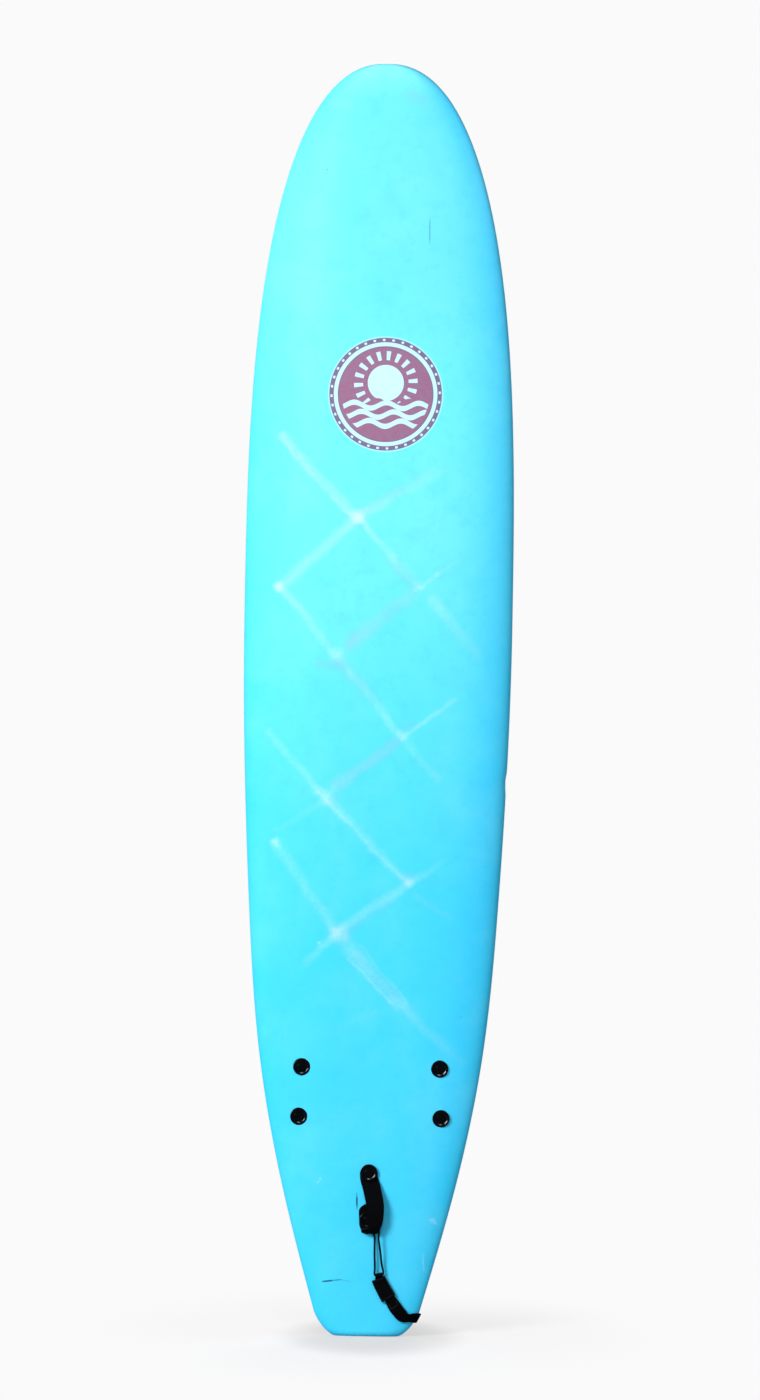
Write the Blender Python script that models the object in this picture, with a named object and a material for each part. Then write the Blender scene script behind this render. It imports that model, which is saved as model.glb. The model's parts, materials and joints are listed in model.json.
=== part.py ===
"""A nine foot soft-top surfboard with three bolt-through fins and an ankle leash.

The board stands on its tail: +Z runs from the tail end up to the nose, the deck faces -Y, the bottom and
the fins face +Y and +X is the right side of someone who looks at the deck. All sizes are in metres.
"""

import math

import bmesh
import bpy
import numpy as np
from mathutils import Matrix, Vector

# Outline of the board, seen from the deck
LENGTH = 2.743
WIDTH = 0.581
WIDE_POINT = 1.545
NOSE_FULLNESS = 2.9
NOSE_BLUNTNESS = 2.3
NOSE_TIP = 0.0012
TAIL_BLOCK = 0.198
WIDTH_STEP = 0.305
WIDTH_ONE_STEP_UP = 0.367
WIDTH_TWO_STEPS_UP = 0.485
WIDTH_THREE_STEPS_UP = 0.5385
TAIL_SPREAD = 0.290
TAIL_CORNER = 0.055
TAIL_CORNER_WIDTH = 0.032
TAIL_CORNER_POWER = 1.7

# Profile of the board, seen from the side
THICKNESS = 0.086
THICK_POINT = 1.40
NOSE_THICKNESS = 0.030
TAIL_THICKNESS = 0.036
TAPER_POWER = 2.2
NOSE_ROCKER = 0.115
NOSE_ROCKER_POWER = 2.6
TAIL_ROCKER = 0.055
TAIL_ROCKER_POWER = 2.2
FLAT_POINT = 1.20
NOSE_EDGE_RADIUS = 0.013
TAIL_EDGE_RADIUS = 0.012

# Cross-section: powers of the rounded deck and of the flat bottom, and how high the rail's widest line is
DECK_POWER = 3.0
DECK_ROUND = 2.0
BOTTOM_POWER = 7.0
BOTTOM_ROUND = 2.2
RAIL_HEIGHT = 0.42

# Layers
SKIN = 0.005
SLICK = 0.0015
RAIL_WRAP = 0.028
SLICK_TAIL = 0.022
SLICK_NOSE = 0.060
STRINGER_OFFSET = 0.058
STRINGER = 0.004
SIDE_CORE_START = 0.012
GAP = 0.0003
CORE_STEP = 0.004

# Fins
FIN_CHORD = 0.112
FIN_HEIGHT = 0.117
FIN_OVERHANG = 0.022
FIN_FOIL = 0.0068
FIN_TIP_FOIL = 0.0024
CENTRE_FIN_SCALE = 1.22
FIN_PLATE_LENGTH = 0.146
FIN_PLATE_WIDTH = 0.030
FIN_PLATE = 0.004
FIN_CANT = math.radians(5.0)
POST_RADIUS = 0.0060
POST_LENGTH = 0.030
SIDE_BOLT_FRONT_X = 0.152
SIDE_BOLT_FRONT_Z = 0.576
SIDE_BOLT_REAR_X = 0.1565
SIDE_BOLT_REAR_Z = 0.469
CENTRE_BOLT_FRONT_Z = 0.3495
CENTRE_BOLT_REAR_Z = 0.2480

# Fin screws and the sleeves that they pass through
HEAD_RADIUS = 0.0184
HEAD = 0.0035
HEAD_PROUD = 0.0010
HEAD_ROOM = 0.0006
HEAD_SLOT = 0.0022
SHANK_RADIUS = 0.0040
THREAD_REACH = 0.014
FIT = 0.0003
SLEEVE_RADIUS = 0.0090
SLEEVE_BORE = 0.0065
FACET_ROOM = 0.0005

# Leash strap, string and rail saver
WEBBING = 0.0385
WEBBING_THICK = 0.0022
STRAP_PINCH = 0.020
STRING_RADIUS = 0.00225
SAVER_THICK = 0.0018
WRAP_WIDTH = 0.0340
WRAP_TOP_WIDTH = 0.0300
WRAP_SHIFT = 0.0020
WRAP_THICK = 0.0016

# Leash cord, its swivels and its ankle cuff
CORD_RADIUS = 0.0035
SWIVEL_RADIUS = 0.0068
SWIVEL_LENGTH = 0.0150
ROTOR_RADIUS = 0.0034
ROTOR_FLANGE = 0.0040
ROTOR_SHAFT = 0.0024
HORN_RADIUS = 0.0052
HORN_LENGTH = 0.0115
COIL_CENTRE_X = 0.0
COIL_CENTRE_Y = 0.088
COIL_RADIUS = 0.0395
COIL_LOOPS = 10.25
COIL_LAYERS = 4
COIL_PITCH = 0.0076
COIL_START = math.radians(-90.0)
TIE_THICK = 0.0014
TIE_WIDTH = 0.018
CUFF_CENTRE_X = -0.035
CUFF_CENTRE_Y = 0.202
CUFF_RADIUS_X = 0.050
CUFF_RADIUS_Y = 0.035
CUFF_THICK = 0.006
CUFF_WIDTH = 0.050
CUFF_SLIT = math.radians(7.0)
CUFF_JOIN = math.radians(84.0)
FLAP_THICK = 0.0028
FLAP_WIDTH = 0.044
FLAP_ROOT = math.radians(48.0)
FLAP_TIP = math.radians(140.0)
PULL_TAB = 0.016
COIL_LIFT = 0.0019
TIE_PLACE = math.radians(20.0)
CUFF_SWIVEL = math.radians(262.0)
MOUTH_DEPTH = 0.0045
# The free cord's own places: from the rail swivel to the coil, and from the coil to the cuff
CORD_ROUTE = [(0.0420, 0.0345, 0.0180), (0.0280, 0.0372, 0.0100), (0.0160, 0.0385, 0.0062)]
LEAD_ROUTE = [(-0.0485, 0.1080, 0.0278), (-0.0470, 0.1210, 0.0266)]


def clean_scene():
    for item in list(bpy.data.objects):
        bpy.data.objects.remove(item, do_unlink=True)


def make_material(name, colour, roughness, metallic=0.0):
    material = bpy.data.materials.new(name)
    material.use_nodes = True
    shader = material.node_tree.nodes["Principled BSDF"]
    shader.inputs["Base Color"].default_value = (*colour, 1.0)
    shader.inputs["Roughness"].default_value = roughness
    shader.inputs["Metallic"].default_value = metallic
    material.diffuse_color = (*colour, 1.0)
    return material


def add_object(name, mesh, material, sharp=35.0):
    """Puts a mesh into the scene, smooth shaded with its hard edges kept."""
    mesh.materials.append(material)
    mesh.shade_smooth()
    mesh.set_sharp_from_angle(angle=math.radians(sharp))
    item = bpy.data.objects.new(name, mesh)
    bpy.context.collection.objects.link(item)
    return item


def closed_mesh(name, points, faces):
    mesh = bpy.data.meshes.new(name)
    mesh.from_pydata([tuple(point) for point in points], [], faces)
    work = bmesh.new()
    work.from_mesh(mesh)
    bmesh.ops.recalc_face_normals(work, faces=work.faces)
    work.to_mesh(mesh)
    work.free()
    return mesh


def thick_patch(name, outer, inner, faces, material):
    """Two matching layers of points, joined by a rim along the free edges of their faces."""
    count = len(outer)
    edges = {(face[k - 1], face[k]) for face in faces for k in range(len(face))}
    rim = [(b, a, a + count, b + count) for a, b in sorted(edges) if (b, a) not in edges]
    back = [tuple(corner + count for corner in reversed(face)) for face in faces]
    return add_object(name, closed_mesh(name, list(outer) + list(inner), list(faces) + back + rim), material)


def ring_faces(rings, size, closed=True):
    """Quads between neighbouring rings of `size` points."""
    last = size if closed else size - 1
    return [
        (k * size + j, k * size + (j + 1) % size, (k + 1) * size + (j + 1) % size, (k + 1) * size + j)
        for k in range(rings - 1)
        for j in range(last)
    ]


def loft(name, rings, material, sharp=35.0):
    """A closed body through rings of equally many points, with flat ends."""
    size = len(rings[0])
    points = [point for ring in rings for point in ring]
    faces = ring_faces(len(rings), size)
    faces.append(tuple(reversed(range(size))))
    faces.append(tuple(range(len(points) - size, len(points))))
    return add_object(name, closed_mesh(name, points, faces), material, sharp)


def mark_guide(item):
    item.hide_render = True
    item.display_type = "WIRE"
    return item


def combine(item, tool, operation):
    """Leaves a Boolean on the item, with the tool kept as a guide."""
    modifier = item.modifiers.new(f"{operation.lower()}_{tool.name}"[:60], "BOOLEAN")
    modifier.operation = operation
    modifier.solver = "EXACT"
    modifier.object = mark_guide(tool)


def cubic(knots, values, start=None, end=None):
    """A smooth curve through values at knots, with its end slopes set or left free."""
    knots = np.asarray(knots, float)
    values = np.asarray(values, float).reshape(len(knots), -1)
    step = np.diff(knots)
    rise = np.diff(values, axis=0) / step[:, None]
    count = len(knots)
    matrix = np.zeros((count, count))
    right = np.zeros_like(values)
    for k in range(1, count - 1):
        matrix[k, k - 1 : k + 2] = step[k - 1], 2 * (step[k - 1] + step[k]), step[k]
        right[k] = 6 * (rise[k] - rise[k - 1])
    matrix[0, 0] = matrix[-1, -1] = 1.0
    if start is not None:
        matrix[0, :2] = 2 * step[0], step[0]
        right[0] = 6 * (rise[0] - start)
    if end is not None:
        matrix[-1, -2:] = step[-1], 2 * step[-1]
        right[-1] = 6 * (end - rise[-1])
    bend = np.linalg.solve(matrix, right)

    def curve(place):
        k = int(np.clip(np.searchsorted(knots, place) - 1, 0, count - 2))
        left, ahead = place - knots[k], knots[k + 1] - place
        value = (bend[k] * ahead**3 + bend[k + 1] * left**3) / (6 * step[k])
        value += (values[k] / step[k] - bend[k] * step[k] / 6) * ahead
        value += (values[k + 1] / step[k] - bend[k + 1] * step[k] / 6) * left
        return value if len(value) > 1 else float(value[0])

    return curve


def chord_knots(route):
    return np.concatenate([[0.0], np.cumsum(np.linalg.norm(np.diff(route[:, :3], axis=0), axis=1))])


def through(route, spacing):
    """Points of a smooth curve that keeps the route's own points, with more where they lie far apart."""
    route = np.asarray(route, float)
    knots = chord_knots(route)
    curve = cubic(knots, route)
    places = [0.0]
    for low, high in zip(knots[:-1], knots[1:]):
        count = max(1, round((high - low) / spacing))
        places += [low + (high - low) * k / count for k in range(1, count + 1)]
    return np.array([curve(place) for place in places])


def along(route, spacing, start=None, end=None):
    """Points of a smooth curve through the route, about `spacing` apart by its length."""
    route = np.asarray(route, float)
    knots = chord_knots(route)
    curve = cubic(knots, route, start, end)
    fine = np.array([curve(place) for place in np.linspace(0.0, knots[-1], 40 * len(route))])
    reach = np.concatenate([[0.0], np.cumsum(np.linalg.norm(np.diff(fine[:, :3], axis=0), axis=1))])
    count = max(4, round(reach[-1] / spacing) + 1)
    places = np.linspace(0.0, reach[-1], count)
    axes = range(fine.shape[1])
    return np.array([[np.interp(place, reach, fine[:, axis]) for axis in axes] for place in places])


# Hull: the outer shape of the board and the layers under it

OUTLINE_TAIL = cubic(
    [0.0, WIDTH_STEP, 2 * WIDTH_STEP, 3 * WIDTH_STEP, WIDE_POINT],
    [width / 2 for width in (TAIL_BLOCK, WIDTH_ONE_STEP_UP, WIDTH_TWO_STEPS_UP, WIDTH_THREE_STEPS_UP, WIDTH)],
    TAIL_SPREAD,
    0.0,
)


def half_width(z):
    if z > WIDE_POINT:
        up = min((z - WIDE_POINT) / (LENGTH - WIDE_POINT), 1.0)
        return WIDTH / 2 * (1 - up**NOSE_FULLNESS) ** (1 / NOSE_BLUNTNESS)
    width = OUTLINE_TAIL(z)
    if z < TAIL_CORNER:
        turn = (1 - z / TAIL_CORNER) ** TAIL_CORNER_POWER
        width -= TAIL_CORNER_WIDTH * (1 - (1 - turn) ** (1 / TAIL_CORNER_POWER))
    return width


def thickness(z):
    nose = z > THICK_POINT
    reach = (LENGTH - THICK_POINT) if nose else THICK_POINT
    end = NOSE_THICKNESS if nose else TAIL_THICKNESS
    return THICKNESS - (THICKNESS - end) * (abs(z - THICK_POINT) / reach) ** TAPER_POWER


def rocker(z):
    if z > FLAT_POINT:
        return NOSE_ROCKER * ((z - FLAT_POINT) / (LENGTH - FLAT_POINT)) ** NOSE_ROCKER_POWER
    return TAIL_ROCKER * ((FLAT_POINT - z) / FLAT_POINT) ** TAIL_ROCKER_POWER


def bottom_line(z):
    """The bottom's height along the middle of the board, with the tail end's middle at y = 0."""
    return TAIL_THICKNESS / 2 + TAIL_ROCKER - rocker(z)


def edge_roll(z, radius):
    """How far the deck and the bottom draw in where the board's two ends are rounded."""
    near = min(z, LENGTH - z)
    if near >= radius:
        return 0.0
    return radius - math.sqrt(radius**2 - (radius - near) ** 2)


class Section:
    """The board's cross-section at a station, set in by `inset`, and by `under` on its bottom side."""

    def __init__(self, station, inset=0.0, under=None):
        under = inset if under is None else under
        from_nose = LENGTH - station
        shift = inset * max(0.0, 1 - station / SLICK_TAIL) - inset * max(0.0, 1 - from_nose / SLICK_NOSE)
        self.z = station + shift
        end_radius = NOSE_EDGE_RADIUS if station > THICK_POINT else TAIL_EDGE_RADIUS
        roll = edge_roll(station, max(end_radius - inset, 0.001))
        line = bottom_line(self.z)
        self.half = half_width(station) - inset
        self.bottom = line - under - roll
        self.deck = line - thickness(station) + inset + roll
        self.rail = line - RAIL_HEIGHT * thickness(station)

    def deck_at(self, x):
        share = min(abs(x) / self.half, 1.0)
        return self.rail - (self.rail - self.deck) * (1 - share**DECK_POWER) ** (1 / DECK_ROUND)

    def bottom_at(self, x):
        share = min(abs(x) / self.half, 1.0)
        return self.rail + (self.bottom - self.rail) * (1 - share**BOTTOM_POWER) ** (1 / BOTTOM_ROUND)

    def deck_point(self, turn):
        """A point of the deck, from the left rail at -90 degrees to the right rail at 90."""
        share = abs(math.sin(turn)) ** (2 / DECK_POWER)
        x = math.copysign(self.half * share, turn)
        return Vector((x, self.deck_at(x), self.z))

    def under_turn(self, x):
        """The turn at which the bottom's curve is x from the middle; it is 90 degrees in the middle."""
        return math.acos(min(abs(x) / self.half, 1.0) ** (BOTTOM_POWER / 2))

    def under_point(self, turn, side):
        x = side * self.half * max(math.cos(turn), 0.0) ** (2 / BOTTOM_POWER)
        return Vector((x, self.bottom_at(x), self.z))


def seam(station):
    """Where the deck skin, wrapped round the rail, meets the bottom slick."""
    width = half_width(station)
    return width - min(RAIL_WRAP, width / 3)


def deck_y(x, z):
    return Section(z).deck_at(x)


def bottom_y(x, z):
    return Section(z).bottom_at(x)


def stations(middle=12):
    """Heights of the cross-sections, close together at the two ends."""
    tail = [SLICK_TAIL * (k / 5) ** 1.6 for k in range(6)]
    tail += [SLICK_TAIL + (TAIL_CORNER - SLICK_TAIL) * share for share in (0.18, 0.55, 1.0)]
    nose_zone = 4 * SLICK_NOSE
    body = np.linspace(TAIL_CORNER, LENGTH - nose_zone, middle + 1)[1:-1]
    near_nose = [nose_zone * (k / 8) ** 2 for k in range(8, 4, -1)]
    tip = [SLICK_NOSE * (k / 5) ** 2 for k in range(5, 0, -1)]
    nose = [LENGTH - near for near in near_nose + [SLICK_NOSE + CORE_STEP] + tip + [NOSE_TIP]]
    return tail + [float(z) for z in body] + nose


DECK_COLUMNS = (0.22, 0.42, 0.59, 0.73, 0.84, 0.915, 0.965, 0.993, 1.0)
DECK_STEPS = 2 * len(DECK_COLUMNS)
UNDER_STEPS = 3
BOTTOM_STEPS = 4


def skin_ring(section, edge):
    """Points round a cross-section: along the deck, round the right rail, under the board and back."""
    shares = [-share for share in reversed(DECK_COLUMNS)] + [0.0] + list(DECK_COLUMNS)
    places = [share * section.half for share in shares]
    deck = [Vector((x, section.deck_at(x), section.z)) for x in places]
    turn = section.under_turn(edge)
    right = [section.under_point(turn * k / UNDER_STEPS, 1) for k in range(1, UNDER_STEPS + 1)]
    middle = [Vector((edge * (1 - 2 * k / BOTTOM_STEPS), 0.0, section.z)) for k in range(1, BOTTOM_STEPS)]
    for point in middle:
        point.y = section.bottom_at(point.x)
    left = [section.under_point(turn * k / UNDER_STEPS, -1) for k in range(UNDER_STEPS, 0, -1)]
    return deck + right + middle + left


def build_deck_skin(material):
    levels = stations()
    outer = [skin_ring(Section(z), seam(z)) for z in levels]
    inner = [skin_ring(Section(z, SKIN), min(seam(z), 0.93 * Section(z, SKIN).half)) for z in levels]
    size = len(outer[0])
    first_open = DECK_STEPS + UNDER_STEPS
    faces = []
    for face in ring_faces(len(levels), size):
        ring, place = divmod(face[0], size)
        under = first_open <= place < first_open + BOTTOM_STEPS
        slick_here = levels[ring] >= SLICK_TAIL - 1e-9 and levels[ring + 1] <= LENGTH - SLICK_NOSE + 1e-9
        if not (under and slick_here):
            faces.append(face)
    faces.append(tuple(reversed(range(size))))
    faces.append(tuple(range((len(levels) - 1) * size, len(levels) * size)))
    flat_outer = [point for ring in outer for point in ring]
    flat_inner = [point for ring in inner for point in ring]
    return thick_patch("deck_skin", flat_outer, flat_inner, faces, material)


SLICK_COLUMNS = (0.95, 0.88, 0.78, 0.62, 0.40)


def slick_levels():
    inside = [z for z in stations() if SLICK_TAIL + CORE_STEP < z < LENGTH - SLICK_NOSE - CORE_STEP]
    return [SLICK_TAIL + GAP] + inside + [LENGTH - SLICK_NOSE - GAP]


def build_bottom_slick(material):
    layers = []
    for under in (0.0, SLICK):
        points = []
        for z in slick_levels():
            section = Section(z, 0.0, under)
            edge = seam(z) - GAP
            right = [edge] + [edge * share for share in SLICK_COLUMNS]
            across = right + [0.0] + [-x for x in reversed(right)]
            points += [Vector((x, section.bottom_at(x), z)) for x in across]
        layers.append(points)
    faces = ring_faces(len(slick_levels()), len(layers[0]) // len(slick_levels()), closed=False)
    return thick_patch("bottom_slick", layers[0], layers[1], faces, material)


CORE_INSET = SKIN + GAP
CORE_UNDER = SLICK + GAP
CORE_CUT = STRINGER_OFFSET - STRINGER / 2 - GAP
SIDE_CUT = STRINGER_OFFSET + STRINGER / 2 + GAP


def has_slick(station):
    return SLICK_TAIL + CORE_STEP / 2 < station < LENGTH - SLICK_NOSE - CORE_STEP / 2


def centre_under(levels, k):
    """The middle core reaches the slick only where the slick is wider than the core, all the way."""
    near = levels[max(k - 1, 0) : k + 2]
    wide = all(has_slick(z) and seam(z) > CORE_CUT + CORE_STEP for z in near)
    return CORE_UNDER if wide else CORE_INSET


def build_core_centre(material):
    rings = []
    levels = stations()
    for k, z in enumerate(levels):
        section = Section(z, CORE_INSET, centre_under(levels, k))
        reach = min(CORE_CUT, 0.985 * section.half)
        across = [reach * math.sin(math.pi / 2 * (j / 3 - 1)) for j in range(7)]
        ring = [Vector((x, section.deck_at(x), section.z)) for x in across]
        ring += [Vector((x, section.bottom_at(x), section.z)) for x in reversed(across)]
        rings.append(ring)
    return loft("core_centre", rings, material)


def side_levels():
    least = SIDE_CUT + RAIL_WRAP + SIDE_CORE_START
    return [z for z in stations() if half_width(z) > least and has_slick(z)]


def build_core_side(name, side, material):
    rings = []
    for z in side_levels():
        outer = Section(z, CORE_INSET + FACET_ROOM)
        inner = Section(z, CORE_INSET + FACET_ROOM, CORE_UNDER)
        edge = seam(z)
        low = math.asin(min(SIDE_CUT / outer.half, 1.0) ** (DECK_POWER / 2))
        deck = [outer.deck_point(low + (math.pi / 2 - low) * j / 6) for j in range(7)]
        turn = outer.under_turn(edge)
        rail = [outer.under_point(turn * j / UNDER_STEPS, 1) for j in range(1, UNDER_STEPS + 1)]
        inside = edge - CORE_STEP / 2
        under = [Vector((x, inner.bottom_at(x), z)) for x in (inside, (inside + SIDE_CUT) / 2, SIDE_CUT)]
        deck[0].x = SIDE_CUT
        ring = deck + rail + under
        for point in ring:
            point.x *= side
            point.z = z
        rings.append(ring)
    return loft(name, rings, material)


def build_stringer(name, side, material):
    """A thin plank on edge between the foam cores, as tall as the foam."""
    far = STRINGER_OFFSET + STRINGER / 2
    levels = side_levels()
    first, last = levels[0] + GAP, levels[-1] - GAP
    levels = [first] + levels[1:-1] + [last]
    top = [Section(z, CORE_INSET, CORE_UNDER).deck_at(far) for z in levels]
    low = [Section(z, CORE_INSET, CORE_UNDER).bottom_at(far) for z in levels]
    near, away = side * (STRINGER_OFFSET - STRINGER / 2), side * far
    rings = []
    for z, deck, under in zip(levels, top, low):
        rings.append([(near, deck, z), (away, deck, z), (away, under, z), (near, under, z)])
    return loft(name, [[Vector(point) for point in ring] for ring in rings], material)


# Fins, their screws and the sleeves in the board


def turned(name, profile, frame, material, sides=20, sharp=35.0):
    """A closed body turned about the frame's Z axis from (radius, height) pairs that start and end on it."""
    points = [Vector((0.0, 0.0, profile[0][1]))]
    for radius, height in profile[1:-1]:
        for k in range(sides):
            turn = 2 * math.pi * k / sides
            points.append(Vector((radius * math.cos(turn), radius * math.sin(turn), height)))
    points.append(Vector((0.0, 0.0, profile[-1][1])))
    rings = len(profile) - 2
    faces = [tuple(corner + 1 for corner in face) for face in ring_faces(rings, sides)]
    last = len(points) - 1
    start = last - sides
    faces += [(0, 1 + (k + 1) % sides, 1 + k) for k in range(sides)]
    faces += [(last, start + k, start + (k + 1) % sides) for k in range(sides)]
    mesh = closed_mesh(name, [frame @ point for point in points], faces)
    return add_object(name, mesh, material, sharp)


def tube(name, outer, bore, low, high, frame, material, sides=24):
    """A plain pipe along the frame's Z axis."""
    corners = ((outer, low), (outer, high), (bore, high), (bore, low))
    points = []
    for k in range(sides):
        turn = 2 * math.pi * k / sides
        points += [Vector((r * math.cos(turn), r * math.sin(turn), h)) for r, h in corners]
    faces = []
    for k in range(sides):
        here, ahead = 4 * k, 4 * ((k + 1) % sides)
        faces += [(here + j, ahead + j, ahead + (j + 1) % 4, here + (j + 1) % 4) for j in range(4)]
    return add_object(name, closed_mesh(name, [frame @ point for point in points], faces), material)


def frame_of(origin, along_axis, up_axis):
    """A frame whose Z is up_axis and whose X is as near along_axis as can be."""
    up = Vector(up_axis).normalized()
    ahead = Vector(along_axis)
    ahead = (ahead - up * ahead.dot(up)).normalized()
    side = up.cross(ahead)
    matrix = Matrix((ahead, side, up)).transposed().to_4x4()
    matrix.translation = Vector(origin)
    return matrix


def fin_frame(front, rear):
    """The frame of a fin's base: origin on the bottom between its bolts, X to the nose, Z off the board."""
    x, z = (front[0] + rear[0]) / 2, (front[1] + rear[1]) / 2
    small = 0.02
    along_board = Vector((0.0, bottom_y(x, z + small) - bottom_y(x, z - small), 2 * small))
    across = Vector((2 * small, bottom_y(x + small, z) - bottom_y(x - small, z), 0.0))
    normal = along_board.cross(across).normalized()
    if normal.y < 0:
        normal.negate()
    heading = Vector((front[0] - rear[0], 0.0, front[1] - rear[1]))
    return frame_of((x, bottom_y(x, z), z), heading, normal)


def surface_height(frame, a, b, surface):
    """How far a surface of the board lies above a frame's XY plane at (a, b)."""
    height = 0.0
    for _ in range(6):
        point = frame @ Vector((a, b, height))
        height += (surface(point.x, point.z) - point.y) / frame.col[2].y
    return height


def plate_lift(frame, scale):
    """The fin plate rests on the highest place of the slightly curved bottom."""
    half_length, half_width_ = FIN_PLATE_LENGTH * scale / 2, FIN_PLATE_WIDTH / 2
    places = [(a * half_length, b * half_width_) for a in (-1, -0.5, 0, 0.5, 1) for b in (-1, 0, 1)]
    return max(surface_height(frame, a, b, bottom_y) for a, b in places) + GAP


def fin_edges(share, chord, overhang):
    """Leading and trailing edge of the blade at a share of its height."""
    tip = -(chord / 2 + overhang)
    sweep = 0.42 * share + 0.58 * (1 - math.sqrt(max(0.0, 1 - share**2)))
    lead = chord / 2 - (chord / 2 - tip) * sweep
    trail = -chord / 2 + (tip + chord / 2) * share**1.7 + 0.10 * chord * math.sin(math.pi * share)
    return lead, trail


def foil_ring(lead, trail, thick, height):
    """A leaf-shaped section from the trailing edge over one side and back along the other."""
    steps = 6
    points = []
    for side, order in ((1, range(steps + 1)), (-1, range(steps - 1, 0, -1))):
        for k in order:
            share = (1 - math.cos(math.pi * k / steps)) / 2
            bulge = 1.9 * math.sqrt(1 - share + 0.0004) * share**0.55 if k else 0.12
            bulge = min(bulge, 1.0) * thick / 2
            x = trail + (lead - trail) * share
            points.append(Vector((x, side * bulge if 0 < k < steps else 0.0, height)))
    return points


def build_fin(name, front, rear, cant, scale, material):
    frame = fin_frame(front, rear)
    lift = plate_lift(frame, scale)
    chord, height = FIN_CHORD * scale, FIN_HEIGHT * scale
    leaned = frame @ Matrix.Translation((0, 0, lift)) @ Matrix.Rotation(cant, 4, "X")
    rings = []
    for share in (0.0, 0.12, 0.28, 0.45, 0.62, 0.76, 0.87, 0.945, 0.985):
        lead, trail = fin_edges(share, chord, FIN_OVERHANG * scale)
        thick = FIN_FOIL + (FIN_TIP_FOIL - FIN_FOIL) * share
        rings.append([leaned @ p for p in foil_ring(lead, trail, thick, FIN_PLATE / 2 + share * height)])
    blade = loft(name, rings, material)
    length = FIN_PLATE_LENGTH * scale
    plate = stadium(f"{name}_plate_form", length, FIN_PLATE_WIDTH, lift, FIN_PLATE, frame, material)
    combine(blade, plate, "UNION")
    spacing = math.hypot(front[0] - rear[0], front[1] - rear[1])
    for label, place in (("front", spacing / 2), ("rear", -spacing / 2)):
        bolt = frame @ Matrix.Translation((place, 0, 0))
        top = lift + FIN_PLATE / 2
        post = [(0, -POST_LENGTH), (POST_RADIUS, -POST_LENGTH), (POST_RADIUS, top), (0, top)]
        combine(blade, turned(f"{name}_{label}_post_form", post, bolt, material, 16), "UNION")
        bore = SHANK_RADIUS + FIT
        floor = -POST_LENGTH + THREAD_REACH + 2 * FIT
        hole = [(0, -POST_LENGTH - HEAD), (bore, -POST_LENGTH - HEAD), (bore, floor), (0, floor)]
        combine(blade, turned(f"{name}_{label}_bore_form", hole, bolt, material, 16), "DIFFERENCE")
    return blade


def stadium(name, length, width, low, thick, frame, material, steps=6):
    """A flat plate with round ends and a chamfered upper edge."""
    rings = []
    chamfer = thick * 0.4
    for inset, height in ((0.0, low), (0.0, low + thick - chamfer), (chamfer, low + thick)):
        radius, reach = width / 2 - inset, (length - width) / 2
        ring = []
        for end in (1, -1):
            for k in range(steps + 1):
                turn = math.pi * (k / steps - 0.5)
                along_plate = end * (reach + radius * math.cos(turn))
                ring.append(frame @ Vector((along_plate, end * radius * math.sin(turn), height)))
        rings.append(ring)
    return loft(name, rings, material)


def rim_heights(bolt, radius, surface):
    """Heights of a surface round a bolt, at a distance from its axis."""
    turns = [2 * math.pi * k / 12 for k in range(12)]
    return [surface_height(bolt, radius * math.cos(turn), radius * math.sin(turn), surface) for turn in turns]


def slick_top_y(x, z):
    return Section(z, 0.0, CORE_UNDER).bottom_at(x)


def bolt_levels(bolt, strapped):
    """Heights along a bolt of the deck, the head's seat and the sleeve's top; the bottom is at 0."""
    deck = surface_height(bolt, 0.0, 0.0, deck_y)
    if strapped:
        seat = min(rim_heights(bolt, HEAD_RADIUS, deck_y)) - STRAP_REST - WEBBING_THICK / 2 - 2 * GAP
        return deck, seat, max(rim_heights(bolt, SLEEVE_RADIUS, deck_y)) + GAP
    seat = deck - HEAD_PROUD + HEAD
    return deck, seat, seat + GAP


def build_bolt(label, bolt, strapped, boards, materials):
    """The screw and the sleeve at one bolt, with the holes that they need in the board's layers."""
    deck, seat, sleeve_top = bolt_levels(bolt, strapped)
    slick_top = min(rim_heights(bolt, SLEEVE_RADIUS, slick_top_y)) - FACET_ROOM
    tip = -POST_LENGTH + THREAD_REACH
    top = seat - HEAD
    profile = [(0, tip), (SHANK_RADIUS, tip), (SHANK_RADIUS, seat), (HEAD_RADIUS, seat)]
    profile += [(HEAD_RADIUS, top + 0.001), (HEAD_RADIUS - 0.001, top), (0, top)]
    screw = turned(f"fin_screw_{label}", profile, bolt, materials["plastic"])
    slot = bolt @ Matrix.Translation((0, 0, top)) @ Matrix.Rotation(math.radians(25), 4, "Z")
    reach = HEAD_RADIUS * 0.72
    half = HEAD_SLOT / 2
    corners = [(-reach, -half), (reach, -half), (reach, half), (-reach, half)]
    rings = [[slot @ Vector((a, b, h)) for a, b in corners] for h in (-0.001, HEAD * 0.45)]
    combine(screw, loft(f"slot_form_{label}", rings, materials["plastic"]), "DIFFERENCE")
    sleeve_name = f"bolt_sleeve_{label}"
    tube(sleeve_name, SLEEVE_RADIUS, SLEEVE_BORE, sleeve_top, slick_top, bolt, materials["sleeve"], 16)
    room, above, below = SLEEVE_RADIUS + FIT, deck - 0.02, 0.01
    hole = [(0, above), (room, above), (room, below), (0, below)]
    if not strapped:
        wide = HEAD_RADIUS + HEAD_ROOM
        hole[1:2] = [(wide, above), (wide, seat + GAP), (room, seat + GAP)]
    cutter = turned(f"sleeve_room_{label}", hole, bolt, materials["plastic"])
    for layer in boards:
        combine(layer, cutter, "DIFFERENCE")
    post = POST_RADIUS + FIT
    through = [(0, slick_top - 0.004), (post, slick_top - 0.004), (post, 0.01), (0, 0.01)]
    return turned(f"post_room_{label}", through, bolt, materials["plastic"], 16)


# Webbing and cords: how far apart their rows of points are, and the coil's points for each turn
STRAP_STEP = 0.008
SAVER_SPACING = 0.007
STRING_STEP = 0.0075
CORD_STEP = 0.006
COIL_STEPS = 20


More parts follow.
